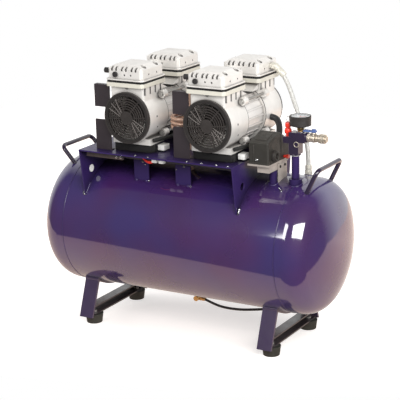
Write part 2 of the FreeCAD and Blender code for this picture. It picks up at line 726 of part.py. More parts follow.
def fan(unit_x, side):
    """Seven-bladed cooling fan on one end of the shaft."""
    back_y = s.unit_back + (s.shaft_reach - s.fan_width / 2) * side
    start = (unit_x, back_y - s.fan_width / 2, shaft_height)
    hub = cylinder(s.fan_hub_radius, s.fan_width, start, ALONG_Y)
    blades = []
    for step in range(SIZES["blade_count"]):
        around = Rotation(Vector(0, 1, 0), 360 / SIZES["blade_count"] * step)
        twist = Rotation(Vector(0, 0, 1), s.blade_twist.value * side)
        blades.append(slab_about((unit_x, back_y, shaft_height), around.multiply(twist),
                                 (-s.blade_thick / 2, -s.blade_chord / 2, 0),
                                 Length=s.blade_thick, Width=s.blade_chord, Height=s.fan_radius))
    wheel = fuse(hub, *blades)
    return cut(wheel, cylinder(s.shaft_radius, s.fan_width, start, ALONG_Y))


GUARD_BAR_ANGLES = (38, 53, 68, 130, 175)


def guard_master():
    """Fan guard: rim, hub disc, concentric rings and bars from rim to rim, facing front."""
    pieces = [pipe(s.guard_radius, s.guard_radius - s.guard_rim, s.guard_thick, (0, 0, 0), ALONG_Y),
              cylinder(s.guard_hub, s.grille_thick, (0, 0, 0), ALONG_Y)]
    ring_count = SIZES["guard_rings"]
    pitch = (s.guard_radius - s.guard_rim - s.guard_hub) / (ring_count + 1)
    for step in range(1, ring_count + 1):
        outer = s.guard_hub + pitch * step + s.guard_ring / 2
        pieces.append(pipe(outer, outer - s.guard_ring, s.grille_thick, (0, 0, 0), ALONG_Y))
    reach = s.guard_radius - s.guard_rim / 2
    for angle in GUARD_BAR_ANGLES:
        turn = Rotation(Vector(0, 1, 0), angle)
        pieces.append(slab_about((0, 0, 0), turn, (-reach, 0, -s.guard_bar / 2),
                                 Length=reach * 2, Width=s.grille_thick, Height=s.guard_bar))
    return fuse(*pieces)


def head_master():
    """Cylinder head: a lip, upright sides and a hipped roof, with slots, screw holes and bolt seats."""
    width = s.head_width - s.head_lip * 2
    depth = s.head_depth - s.head_lip * 2
    low = head_low + s.head_side
    sides = block(width, depth, s.head_side, 0, -cylinder_y, head_low)
    run_x = width / 2 - s.roof_run
    run_y = depth / 2 - s.roof_run
    roof = solid("Wedge", (0, -cylinder_y, low), UPRIGHT, Xmin=-width / 2, Xmax=width / 2, Zmin=-depth / 2,
                 Zmax=depth / 2, Ymin=0, Ymax=s.head_crown - s.head_side, X2min=-run_x, X2max=run_x,
                 Z2min=-run_y, Z2max=run_y)
    form = doc.addObject("Part::MultiCommon", "HeadForm")
    form.Shapes = [slab_master(head_low, s.head_crown, s.head_lip), fuse(sides, roof)]
    cuts = []
    for side in (-1, 1):
        face_y = -cylinder_y + depth / 2 * side
        for group_x in (-s.slot_group, 0, s.slot_group):
            for slot_x in (group_x - s.slot_gap / 2, group_x + s.slot_gap / 2):
                cuts.append(block(s.slot_width, s.slot_depth * 2, s.head_crown, slot_x + s.slot_shift, face_y,
                                  head_low + s.slot_low))
        for hole_x in (0, s.screw_hole_gap):
            at = (hole_x, face_y - s.screw_hole_depth, head_low + s.screw_hole_z)
            cuts.append(cylinder(s.screw_hole_radius, s.screw_hole_depth * 2, at, ALONG_Y))
        for hole_y in (-s.screw_hole_gap, s.screw_hole_gap):
            at = ((width / 2) * side - s.screw_hole_depth, hole_y - cylinder_y, head_low + s.screw_hole_z)
            cuts.append(cylinder(s.screw_hole_radius, s.screw_hole_depth * 2, at, ALONG_X))
    for x in (-s.head_bolt_x, s.head_bolt_x):
        for y in (-s.head_bolt_y, s.head_bolt_y):
            cuts.append(cylinder(s.head_bolt_seat, s.head_crown, (x, y - cylinder_y, bolt_seat)))
    return cut(fuse(slab_master(head_low, s.lip_thick, 0), form), *cuts)


def unit_frames(unit_x):
    """Placements of the front and the rear pump of one unit; the rear one is turned round."""
    middle = Vector(unit_x.value, s.unit_back.value, shaft_height.value)
    return [Placement(middle, Rotation()), Placement(middle, HALF_TURN)]


def piston_and_rod(rise):
    """Wobble piston in one piece with its rod, and its eccentric, with the crank up or down."""
    def disc(radius, width, height):
        return cylinder(radius, width, (0, -cylinder_y - width / 2, height), ALONG_Y)
    crank = cut(disc(s.crank_radius, s.crank_width, rise),
                disc(s.shaft_radius + s.running_gap, s.crank_width, 0))
    shank = block(s.rod_thick, s.rod_thick, s.rod_reach - s.piston_thick / 2, 0, -cylinder_y, rise)
    crown = cylinder(s.piston_radius, s.piston_thick, (0, -cylinder_y, rise + s.rod_reach - s.piston_thick))
    rod = fuse(disc(s.big_end_radius, s.rod_thick, rise), shank, crown)
    return cut(rod, disc(s.crank_radius, s.rod_thick, rise)), crank


def at_heads(master, units=unit_centres):
    return copies(master, [frame for unit_x in units for frame in unit_frames(unit_x)])


def build_units():
    guard = guard_master()
    guard_front = place(group(guard), (0, -s.case_outer - s.guard_thick, 0))
    head = head_master()
    for unit_x, name in zip(unit_centres, ("left", "right")):
        keep(crankcase(unit_x, None), f"{name}_crankcase_front")
        keep(crankcase(unit_x, HALF_TURN), f"{name}_crankcase_rear")
        keep(motor_barrel(unit_x), f"{name}_motor_barrel")
        keep(rotor(unit_x), f"{name}_rotor_shaft")
        keep(group(fan(unit_x, -1), fan(unit_x, 1)), f"{name}_fans")
        keep(at_heads(guard_front, [unit_x]), f"{name}_fan_guards")
        keep(at_heads(head, [unit_x]), f"{name}_cylinder_heads")
    keep(group(*[stator(unit_x) for unit_x in unit_centres]), "motor_stators")
    keep(at_heads(bearing_master()), "shaft_bearings")
    raised, crank_up = piston_and_rod(s.crank_offset)
    lowered, crank_down = piston_and_rod(-s.crank_offset)
    fronts, rears = zip(*[unit_frames(unit_x) for unit_x in unit_centres])
    linkages = [copies(raised, fronts), copies(lowered, rears),
                copies(crank_up, fronts), copies(crank_down, rears)]
    keep(group(*linkages), "cranks_and_pistons")
    liner = pipe(s.liner_radius, s.liner_bore, s.liner_length, (0, -cylinder_y, s.neck_tall - s.liner_length))
    keep(at_heads(liner), "cylinder_liners")
    keep(at_heads(slab_master(s.neck_tall, s.plate_thick, 0)), "valve_plates")
    keep(at_heads(slab_master(gasket_low, s.gasket_thick, 1)), "head_gaskets")
    keep(group(*[plug for unit_x in unit_centres for side in (-1, 1) for plug in head_plugs(unit_x, side)]),
         "head_silencers")
    keep(group(*[crossover(unit_x) for unit_x in unit_centres]), "crossover_pipes")
    keep(group(*[motor_lead(unit_x) for unit_x in unit_centres]), "motor_leads")
    ties = [tie_bolt(unit_x, x, z) for unit_x in unit_centres for x, z in lug_centres]
    return [*ties, at_heads(head_bolts_master())]


def motor_lead(unit_x):
    """Sleeved lead from the front crankcase along the base, down into the deck."""
    start_x = unit_x + s.base_width / 2 + s.lead_gap
    far_x = start_x + s.lead_spread
    height = base_low + s.lead_low
    end_y = s.unit_back + s.lead_reach / 2
    points = [(start_x, s.unit_back - s.lead_reach, height), (far_x, s.unit_back - s.base_inner, height),
              (far_x, end_y, height), (far_x, end_y, deck_top)]
    return bar(points, s.lead_radius, s.lead_bend)


def bearing_master():
    return pipe(s.bearing_radius, s.shaft_radius + s.running_gap, s.case_wall,
                (0, -s.case_inner - s.case_wall, 0), ALONG_Y)


def slab_master(low, thick, inset):
    """A plate of the head's own outline: the valve plate, or the gasket on it."""
    body = new_body((0, -cylinder_y, low))
    wide = s.head_width / 2 - inset
    deep = s.head_depth / 2 - inset
    clip = s.head_corner
    pad(body, outline(sketch_on(body, "XY_Plane"), [
        (-wide, -deep + clip), (-wide + clip, -deep), (wide - clip, -deep), (wide, -deep + clip),
        (wide, deep - clip), (wide - clip, deep), (-wide + clip, deep), (-wide, deep - clip)]), thick)
    return body


def head_bolts_master():
    return group(*[cylinder(s.head_bolt_radius, s.head_bolt_recess, (x, y - cylinder_y, bolt_seat))
                   for x in (-s.head_bolt_x, s.head_bolt_x) for y in (-s.head_bolt_y, s.head_bolt_y)])


def head_plugs(unit_x, side):
    """Intake silencer on a head's left side, and the round port plug on its outer end."""
    middle_y = s.unit_back + cylinder_y * side
    low_z = shaft_height + head_low
    face_x = s.head_width / 2 - s.head_lip
    mouth = (unit_x - face_x, middle_y + s.silencer_y * side, low_z + s.silencer_z)
    silencer = cylinder(s.silencer_radius, s.silencer_length, mouth, ALONG_MINUS_X)
    face_y = middle_y + (s.head_depth / 2 - s.head_lip) * side
    port_y = face_y - (s.port_length if side < 0 else 0)
    port = cylinder(s.port_radius, s.port_length, (unit_x - s.port_x, port_y, low_z + s.port_z), ALONG_Y)
    return silencer, port


def crossover(unit_x):
    """Air pipe between the two heads of a unit."""
    gap = s.head_pitch - s.head_depth + s.head_lip * 2
    at = (unit_x - s.crossover_x, s.unit_back - gap / 2, shaft_height + head_low + s.crossover_z)
    return pipe(s.crossover_radius, s.crossover_radius - s.crossover_wall, gap, at, ALONG_Y)


def tie_bolt(unit_x, x, z):
    reach = s.case_inner + s.lug_length
    start = (unit_x + x, s.unit_back - reach, shaft_height + z)
    heads = [hexagon(s.tie_head_radius, s.tie_head, (unit_x + x, y, shaft_height + z), ALONG_Y)
             for y in (s.unit_back - reach - s.tie_head, s.unit_back + reach)]
    return fuse(cylinder(s.tie_radius, reach * 2, start, ALONG_Y), *heads)


def build_coil(envelope):
    """Copper cooling coil between the units, from the right valve plate down into the receiver."""
    coil_low = shaft_height - s.coil_drop
    tail_y = s.coil_y + s.coil_radius
    steps = SIZES["coil_steps"] * SIZES["coil_turns"]
    turns = []
    for step in range(steps + 1):
        angle = as_size(90 - 360 / SIZES["coil_steps"] * step)
        turns.append((s.coil_x + s.coil_radius * cosine(angle), s.coil_y + s.coil_radius * sine(angle),
                      coil_low + s.coil_pitch * s.coil_turns / steps * step))
    plate_x = unit_centres[1] - s.head_width / 2
    plate_z = shaft_height + s.neck_tall + s.plate_thick / 2
    low = tank_top(tail_y) - s.coil_tube * 2
    route = [(s.coil_x, tail_y, low), *turns, (s.coil_x, tail_y, plate_z), (plate_x, tail_y, plate_z)]
    keep(cut(bar(route, s.coil_tube), envelope), "cooling_coil")


# Pressure switch

def build_switch(envelope):
    switch_low = tank_crest + s.switch_rise
    plate_low = switch_low - s.switch_base
    half_x = s.switch_width / 2
    half_y = s.switch_depth / 2
    cover = new_body((s.switch_x, s.switch_y, switch_low))
    profile = outline(sketch_on(cover, "YZ_Plane"), [
        (-half_y, 0), (half_y, 0), (half_y, s.switch_back), (s.switch_ridge, s.switch_tall),
        (-half_y, s.switch_front)])
    shell = pad(cover, profile, s.switch_width, toward=0)

    def upper(edge):
        return edge.BoundBox.ZMax > s.switch_back.value - 0.1

    round_edges(cover, shell, s.switch_edge, upper)
    keep(cover, "pressure_switch_cover")
    plate = block(s.switch_width + s.base_lip * 2, s.switch_depth + s.base_lip * 2, s.switch_base,
                  s.switch_x, s.switch_y, plate_low)
    housing = block(s.diaphragm_width, s.diaphragm_depth, s.diaphragm_tall, s.diaphragm_x, s.diaphragm_y,
                    plate_low - s.diaphragm_tall)
    keep(fuse(plate, housing), "pressure_switch_base")
    pipe_high = plate_low - s.diaphragm_tall
    pipe_low = tank_top(s.switch_pipe_y) - s.pipe_radius
    column = cylinder(s.pipe_radius, pipe_high - pipe_low, (s.switch_pipe_x, s.switch_pipe_y, pipe_low))
    keep(cut(column, envelope), "pressure_switch_pipe")
    right = s.switch_x + half_x
    gland_at = (right, s.switch_y - half_y / 2, switch_low + s.gland_radius + s.switch_edge)
    keep(pipe(s.gland_radius, s.gland_bore, s.gland_length, gland_at, ALONG_X), "cable_gland")
    knob_at = (right + s.knob_gap, s.switch_y + half_y - s.knob_inset, switch_low + s.knob_lift)
    keep(fuse(cylinder(s.knob_stem, s.knob_length, knob_at, ALONG_X),
              cylinder(s.knob_radius, s.knob_head, (knob_at[0] + s.knob_length - s.knob_head, *knob_at[1:]),
                       ALONG_X)), "switch_knob")


# Outlet manifold with its fittings

block_low = tank_crest + s.block_rise
block_high = block_low + s.block_tall
gauge_low = block_high + s.gauge_rise


def build_manifold(envelope):
    at = (s.manifold_x, s.manifold_y)
    low = tank_top(s.manifold_y) - s.pipe_radius
    seal_low = block_low - s.seal_tall
    socket = cylinder(s.socket_radius, tank_top(s.manifold_y) + s.socket_tall - low, (*at, low))
    riser = cylinder(s.pipe_radius, seal_low - low, (*at, low))
    seal = cylinder(s.pipe_radius + s.seal_lip, s.seal_tall, (*at, seal_low))
    keep(cut(fuse(socket, riser, seal), envelope), "manifold_pipe")
    body = new_body((*at, block_low))
    left = -s.block_left
    right = s.block_right
    profile = outline(sketch_on(body, "XZ_Plane"), [
        (left, 0), (right, 0), (right, s.arm_right_low), (s.arm_right, s.arm_right_low),
        (s.arm_right, s.block_tall), (left, s.block_tall), (left, s.arm_left_high),
        (-s.arm_left, s.arm_left_high), (-s.arm_left, s.arm_left_low), (left, s.arm_left_low)])
    pad(body, profile, s.block_depth, toward=0)
    keep(body, "manifold_block")


def build_gauge():
    """Gauge cup facing up, its lens, and a needle on a hub just above the dial."""
    at = (s.gauge_x, s.manifold_y)
    high = gauge_low + s.gauge_tall + s.gauge_cone
    cone = solid("Cone", (*at, gauge_low), Radius1=s.stem_nut, Radius2=s.gauge_radius, Height=s.gauge_cone)
    cup = cylinder(s.gauge_radius, s.gauge_tall, (*at, gauge_low + s.gauge_cone))
    dial_radius = s.gauge_radius - s.gauge_wall
    dial_low = high - s.dial_recess
    keep(cut(fuse(cone, cup), cylinder(dial_radius, s.dial_recess, (*at, dial_low))), "gauge_case")
    keep(fuse(cylinder(s.stem_radius, gauge_low - block_high, (*at, block_high)),
              hexagon(s.stem_nut, s.stem_radius, (*at, gauge_low - s.stem_radius))), "gauge_stem")
    keep(cylinder(dial_radius, s.lens_thick, (*at, high - s.lens_thick)), "gauge_lens")
    hub_low = dial_low + s.running_gap
    pointer_low = hub_low + s.needle_lift
    pointer = block(s.needle_length, s.needle_width, s.needle_thick,
                    s.gauge_x + s.needle_length / 2, s.manifold_y, pointer_low)
    hub = cylinder(s.needle_width, pointer_low - hub_low + s.needle_thick, (*at, hub_low))
    keep(fuse(pointer, hub), "gauge_needle")


def build_outlet():
    relief_at = (s.manifold_x - s.arm_left + s.relief_inset, s.manifold_y)
    seat = block_low + s.arm_left_high
    lower = seat + s.relief_base
    upper = lower + s.relief_knob + s.relief_gap
    top = upper + s.relief_knob
    keep(fuse(hexagon(s.relief_nut, s.relief_base, (*relief_at, seat)),
              cylinder(s.relief_waist, top - lower, (*relief_at, lower)),
              cylinder(s.relief_radius, s.relief_knob, (*relief_at, lower)),
              cylinder(s.relief_radius - s.relief_step, s.relief_knob, (*relief_at, upper))), "safety_valve")
    loop = solid("Torus", (*relief_at, top + s.ring_radius + s.ring_wire + s.knob_gap), ALONG_X,
                 Radius1=s.ring_radius, Radius2=s.ring_wire)
    keep(loop, "safety_valve_ring")
    axis_z = block_high - s.cock_drop
    right = s.manifold_x + s.arm_right
    tail_x = right + s.cock_length
    pivot_x = tail_x - s.pivot_inset
    lever_low = axis_z + s.cock_radius + s.lever_lift
    pivot = cylinder(s.pivot_radius, lever_low - axis_z - s.knob_gap, (pivot_x, s.manifold_y, axis_z))
    keep(fuse(cylinder(s.cock_radius, s.cock_length, (right, s.manifold_y, axis_z), ALONG_X), pivot),
         "ball_valve")
    arm_x = pivot_x - (s.lever_length - s.lever_width) / 2
    keep(fuse(block(s.lever_length, s.lever_width, s.lever_thick, arm_x, s.manifold_y, lever_low),
              hexagon(s.pivot_nut, s.lever_thick, (pivot_x, s.manifold_y, lever_low + s.lever_thick))),
         "ball_valve_lever")
    tail_at = (tail_x, s.manifold_y, axis_z)
    keep(cylinder(s.coupler_radius, s.coupler_length, tail_at, ALONG_X), "outlet_coupler")
    sleeve_x = tail_x + s.coupler_length - s.sleeve_length - s.sleeve_travel
    keep(pipe(s.sleeve_radius, s.coupler_radius + s.running_gap, s.sleeve_length,
              (sleeve_x, s.manifold_y, axis_z), ALONG_X), "coupler_sleeve")


# Hoses and drain

elbow = Vector((unit_centres[1] + s.head_width / 2 + s.elbow_reach).value,
               (s.unit_back + cylinder_y + s.elbow_shift).value,
               (shaft_height + head_low + s.elbow_lift).value)
HOSE_END = (257, 42)
HOSE_ROUTE = [(172, 88, 583), (188, 87, 558), (208, 80, 514), (241, 58, 462), (*HOSE_END, 424)]
CABLE_START_Y = 60
CABLE_END = (190, 448)
CABLE_DROP = 11
CABLE_ROUTE = [(168, 60, 490), (181, 53, 481), (189, 39, 460), (190, 24, 448)]
DRAIN_ROUTE = [(40, 0, 54.5), (68, 1, 50.5), (106, 0, 52.5), (142, 2, 58), (170, 8, 62), (186, 24, 63)]


def build_hoses(envelope):
    """Discharge hose from an elbow on the right rear head down to its socket on the receiver."""
    downhill = (Vector(*HOSE_ROUTE[0]) - elbow).normalize()
    start = elbow + downhill * s.hose_fitting_length.value
    end_z = tank_top(HOSE_END[1]) + s.hose_fitting_length
    keep(bar([tuple(start), *HOSE_ROUTE, (*HOSE_END, end_z)], s.hose_radius, title="discharge hose"),
         "discharge_hose")
    reach = s.elbow_reach + s.head_lip
    nipple = cylinder(s.hose_fitting_radius - s.seal_lip, reach, (elbow.x - reach, elbow.y, elbow.z), ALONG_X)
    corner = solid("Sphere", tuple(elbow), Radius=s.hose_fitting_radius)
    upper = fuse(nipple, corner, bar([tuple(elbow), tuple(start)], s.hose_fitting_radius))
    low = tank_top(HOSE_END[1]) - s.hose_fitting_length
    lower = cut(cylinder(s.hose_fitting_radius, end_z - low, (*HOSE_END, low)), envelope)
    keep(group(upper, lower), "hose_fittings")


def build_switch_cable():
    """Sleeved motor lead from the right motor's rear crankcase into the back of the switch."""
    start = (unit_centres[1] + s.drum_radius, CABLE_START_Y, shaft_height - CABLE_DROP)
    back_y = s.switch_y + s.switch_depth / 2
    end_x, end_z = CABLE_END
    cable = bar([start, *CABLE_ROUTE, (end_x, back_y, end_z)], s.cable_radius, title="switch cable")
    keep(cable, "switch_cable")


def build_drain(envelope):
    """Drain cock under the receiver, its tap, and the tube from its spout to behind the right leg."""
    low = s.tank_height - s.tank_radius - s.drain_tall
    stub = cylinder(s.drain_radius, s.drain_tall + s.tank_wall, (0, 0, low))
    centre = Vector(0, 0, (low + s.drain_outlet).value)
    start = centre + (Vector(*DRAIN_ROUTE[0]) - centre).normalize() * s.drain_spout.value
    spout = bar([tuple(centre), tuple(start)], s.drain_outlet)
    keep(cut(fuse(stub, spout), envelope), "drain_cock")
    tap_y = -s.drain_radius - s.knob_gap - s.drain_tap_length
    tap_at = (0, tap_y, low + s.drain_outlet)
    keep(cylinder(s.drain_tap_radius, s.drain_tap_length, tap_at, ALONG_Y), "drain_tap")
    keep(bar([tuple(start), *DRAIN_ROUTE], s.drain_tube_radius, title="drain tube"), "drain_tube")


# Assembly

envelope = tank_envelope()
build_receiver()
fasteners = build_legs(envelope)
build_handles(envelope)
build_deck(envelope)
keep(group(*[baffle(unit_x) for unit_x in unit_centres]), "baffle_plates")
fasteners += build_mounts()
fasteners += build_units()
keep(group(*fasteners), "screws_and_nuts")
build_coil(envelope)
build_switch(envelope)
build_manifold(envelope)
build_gauge()
build_outlet()
build_hoses(envelope)
build_switch_cable()
build_drain(envelope)

doc.recompute()
for item in doc.Objects:
    if "Invalid" in item.State or "Error" in item.State:
        raise RuntimeError(f"{item.Name} ({item.Label}) did not build: {item.State}")
os.makedirs("parts", exist_ok=True)
for name, item in nodes.items():
    if item.Shape.isNull() or not item.Shape.isValid() or not item.Shape.Solids:
        raise RuntimeError(f"{name} has no valid shape")
for name, item in nodes.items():
    item.Shape.exportStep(f"parts/{name}.step")
print(f"{len(nodes)} sub-parts written")
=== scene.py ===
import math

import bmesh
import bpy
from mathutils import Matrix, Quaternion, Vector


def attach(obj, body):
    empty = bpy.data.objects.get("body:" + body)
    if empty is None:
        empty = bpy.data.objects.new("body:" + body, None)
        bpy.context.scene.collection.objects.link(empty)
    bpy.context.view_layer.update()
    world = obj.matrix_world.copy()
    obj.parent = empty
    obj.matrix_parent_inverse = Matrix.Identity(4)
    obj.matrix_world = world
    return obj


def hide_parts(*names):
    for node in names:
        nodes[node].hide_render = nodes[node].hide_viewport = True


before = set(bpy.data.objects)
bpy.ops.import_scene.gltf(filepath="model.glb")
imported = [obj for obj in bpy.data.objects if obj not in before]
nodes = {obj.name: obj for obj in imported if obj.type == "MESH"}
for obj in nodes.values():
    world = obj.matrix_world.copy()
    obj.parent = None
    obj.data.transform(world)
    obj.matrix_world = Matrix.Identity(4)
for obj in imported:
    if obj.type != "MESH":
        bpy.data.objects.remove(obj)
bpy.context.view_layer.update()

MAIN = "compressor"
MM = 0.001
PHOTO_WIDTH = 400


# Camera: fitted to the photograph

def aim_camera(azimuth, elevation, roll, distance, focal_pixels, target):
    camera = bpy.data.objects.new("camera", bpy.data.cameras.new("camera"))
    bpy.context.scene.collection.objects.link(camera)
    bpy.context.scene.camera = camera
    turn, tilt, lean = (math.radians(angle) for angle in (azimuth, elevation, roll))
    back = Vector((math.sin(turn) * math.cos(tilt), -math.cos(turn) * math.cos(tilt), math.sin(tilt)))
    level = (-back).cross(Vector((0, 0, 1))).normalized()
    upright = level.cross(-back)
    right = level * math.cos(lean) + upright * math.sin(lean)
    up = upright * math.cos(lean) - level * math.sin(lean)
    pose = Matrix((right, up, back)).transposed().to_4x4()
    pose.translation = Vector(target) + back * distance
    camera.matrix_world = pose
    camera.data.lens = focal_pixels * camera.data.sensor_width / PHOTO_WIDTH
    camera.data.clip_start = 0.05
    camera.data.clip_end = 60


aim_camera(azimuth=30.39, elevation=15.62, roll=-1.38, distance=3.263, focal_pixels=1454,
           target=(0.007, 0, 0.2978))


# Cords: the hose, the switch cable and the drain tube, on the same points as their solids

def metres(points):
    return [Vector(point) * MM for point in points]


def spline_curve(name, points, radius):
    """An open smooth curve on the route's points, as thick as their radius says."""
    curve = bpy.data.curves.new(name, "CURVE")
    curve.dimensions = "3D"
    curve.resolution_u = 16
    curve.bevel_depth = 1
    curve.bevel_resolution = 5
    curve.use_fill_caps = True
    spline = curve.splines.new("NURBS")
    spline.points.add(len(points) - 1)
    for control, point in zip(spline.points, points):
        control.co = (*point, 1)
        control.radius = radius
    spline.order_u = 3
    spline.use_endpoint_u = True
    cord = bpy.data.objects.new(name, curve)
    bpy.context.scene.collection.objects.link(cord)
    return cord


def spline_length(cord):
    """Measured on the same curve without its thickness."""
    thin = cord.data.copy()
    thin.bevel_depth = 0
    holder = bpy.data.objects.new("measure", thin)
    line = bpy.data.meshes.new_from_object(holder)
    total = sum((line.vertices[first].co - line.vertices[second].co).length
                for first, second in (edge.vertices for edge in line.edges))
    bpy.data.objects.remove(holder)
    bpy.data.meshes.remove(line)
    return total


HOSE_ROUTE = metres([(163.3, 87.7, 591.2), (172, 88, 583), (188, 87, 558), (208, 80, 514), (241, 58, 462),
                     (257, 42, 424), (257, 42, 383)])
CABLE_ROUTE = metres([(158, 60, 490), (168, 60, 490), (181, 53, 481), (189, 39, 460), (190, 24, 448),
                      (190, 8.5, 448)])
DRAIN_ROUTE = metres([(11.4, 0, 64.1), (40, 0, 54.5), (68, 1, 50.5), (106, 0, 52.5), (142, 2, 58),
                      (170, 8, 62), (186, 24, 63)])


def free_cord(name, node, route, diameter):
    cord = spline_curve(name, route, diameter / 2)
    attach(cord, MAIN)
    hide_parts(node)
    spline_length(cord)
    return cord


hose = free_cord("hose", "discharge_hose", HOSE_ROUTE, 0.010)
lead = free_cord("lead_sleeve", "switch_cable", CABLE_ROUTE, 0.014)
drain = free_cord("drain_line", "drain_tube", DRAIN_ROUTE, 0.006)


# Materials

NOISE_ROUGHNESS = 0.55
CLOUD_BAND = (0.3, 0.7)
WEAR_AMOUNT = 0.5


def mixed(tree, factor, first, second):
    """A colour mix whose factor is a node output."""
    mix = tree.nodes.new("ShaderNodeMix")
    mix.data_type = "RGBA"
    tree.links.new(factor, mix.inputs[0])
    for socket, value in ((mix.inputs[6], first), (mix.inputs[7], second)):
        if isinstance(value, bpy.types.NodeSocket):
            tree.links.new(value, socket)
        else:
            socket.default_value = (*value, 1)
    return mix.outputs[2]


def noise(tree, coordinates, scale, detail=3):
    texture = tree.nodes.new("ShaderNodeTexNoise")
    texture.inputs["Scale"].default_value = scale
    texture.inputs["Detail"].default_value = detail
    texture.inputs["Roughness"].default_value = NOISE_ROUGHNESS
    tree.links.new(coordinates, texture.inputs["Vector"])
    return texture.outputs["Fac"]


def remap(tree, value, low_in, high_in, low_out, high_out):
    ranged = tree.nodes.new("ShaderNodeMapRange")
    ranged.inputs["From Min"].default_value = low_in
    ranged.inputs["From Max"].default_value = high_in
    ranged.inputs["To Min"].default_value = low_out
    ranged.inputs["To Max"].default_value = high_out
    tree.links.new(value, ranged.inputs["Value"])
    return ranged.outputs["Result"]


def link_math(tree, operation, *values):
    node = tree.nodes.new("ShaderNodeMath")
    node.operation = operation
    for socket, value in zip(node.inputs, values):
        if isinstance(value, bpy.types.NodeSocket):
            tree.links.new(value, socket)
        else:
            socket.default_value = value
    return node.outputs[0]


def dot_with(tree, vector, way):
    """How far a vector goes along the way given."""
    product = tree.nodes.new("ShaderNodeVectorMath")
    product.operation = "DOT_PRODUCT"
    product.inputs[1].default_value = way
    tree.links.new(vector, product.inputs[0])
    return product.outputs["Value"]


def shade(colour, factor):
    return tuple(min(1, channel * factor) for channel in colour)


def surface(name, colour, metallic=0.0, roughness=0.4, coat=0.0, coat_roughness=0.05, variation=0.08,
            mottle=18, rough_spread=0.08, grain=0.05, grain_scale=700, soft_edge=0.0006, wear=None,
            stretch=(1, 1, 1), clear=0.0, specular=0.5, coat_ior=1.5, second=None, crevice_shade=None,
            shade_reach=0.012):
    """A painted, cast, moulded or turned surface: mottled colour, uneven gloss, fine grain, worn edges, and,
    where a crevice colour is given, painted shade in its crevices and under nearby parts.
    """
    material = bpy.data.materials.new(name)
    material.use_nodes = True
    tree = material.node_tree
    shader = tree.nodes["Principled BSDF"]
    shader.inputs["Metallic"].default_value = metallic
    shader.inputs["Coat Weight"].default_value = coat
    shader.inputs["Coat Roughness"].default_value = coat_roughness
    shader.inputs["Coat IOR"].default_value = coat_ior
    shader.inputs["Transmission Weight"].default_value = clear
    shader.inputs["Specular IOR Level"].default_value = specular
    place = tree.nodes.new("ShaderNodeTexCoord")
    scaled = tree.nodes.new("ShaderNodeMapping")
    scaled.inputs["Scale"].default_value = stretch
    tree.links.new(place.outputs["Object"], scaled.inputs["Vector"])
    where = scaled.outputs["Vector"]
    cloud = remap(tree, noise(tree, where, mottle), *CLOUD_BAND, 0, 1)
    tint = mixed(tree, cloud, shade(colour, 1 - variation), shade(colour, 1 + variation))
    if second is not None:
        drift = remap(tree, noise(tree, where, mottle * 1.7, detail=1), 0.35, 0.65, 0, 1)
        tint = mixed(tree, drift, tint, second)
    rounded = tree.nodes.new("ShaderNodeBevel")
    rounded.samples = 4
    rounded.inputs["Radius"].default_value = soft_edge
    if wear is not None:
        true_normal = tree.nodes.new("ShaderNodeNewGeometry")
        facing = tree.nodes.new("ShaderNodeVectorMath")
        facing.operation = "DOT_PRODUCT"
        tree.links.new(rounded.outputs["Normal"], facing.inputs[0])
        tree.links.new(true_normal.outputs["True Normal"], facing.inputs[1])
        edge = remap(tree, facing.outputs["Value"], 0.998, 0.93, 0, WEAR_AMOUNT)
        patch = remap(tree, noise(tree, where, mottle * 8), 0.42, 0.6, 0, 1)
        tint = mixed(tree, link_math(tree, "MULTIPLY", edge, patch), tint, wear)
    # Painted shade: ambient occlusion mixes the crevice colour into corners, creases and faces that lie
    # close under other parts
    if crevice_shade is not None:
        shade_ao = tree.nodes.new("ShaderNodeAmbientOcclusion")
        shade_ao.samples = 8
        shade_ao.inputs["Distance"].default_value = shade_reach
        unshaded = remap(tree, shade_ao.outputs["AO"], 0.25, 0.85, 0, 1)
        tint = mixed(tree, unshaded, crevice_shade, tint)
    tree.links.new(tint, shader.inputs["Base Color"])
    gloss = remap(tree, noise(tree, where, mottle * 3), *CLOUD_BAND, max(0.02, roughness - rough_spread),
                  min(1, roughness + rough_spread))
    tree.links.new(gloss, shader.inputs["Roughness"])
    bump = tree.nodes.new("ShaderNodeBump")
    bump.inputs["Strength"].default_value = grain
    bump.inputs["Distance"].default_value = 0.001
    tree.links.new(noise(tree, where, grain_scale, detail=2), bump.inputs["Height"])
    tree.links.new(rounded.outputs["Normal"], bump.inputs["Normal"])
    tree.links.new(bump.outputs["Normal"], shader.inputs["Normal"])
    return material


SILVER = (0.83, 0.80, 0.76)
BARE_STEEL = (0.62, 0.61, 0.60)

# Every crevice colour given below is painted shade in corners, creases and under nearby parts
tank_paint = surface("tank_paint", (0.048, 0.011, 0.082), roughness=0.5, coat=1, coat_roughness=0.075,
                     variation=0.16, mottle=4, grain=0.012, grain_scale=160, specular=0.2, coat_ior=2.3,
                     crevice_shade=(0.006, 0.003, 0.012), shade_reach=0.06, second=(0.030, 0.015, 0.105))
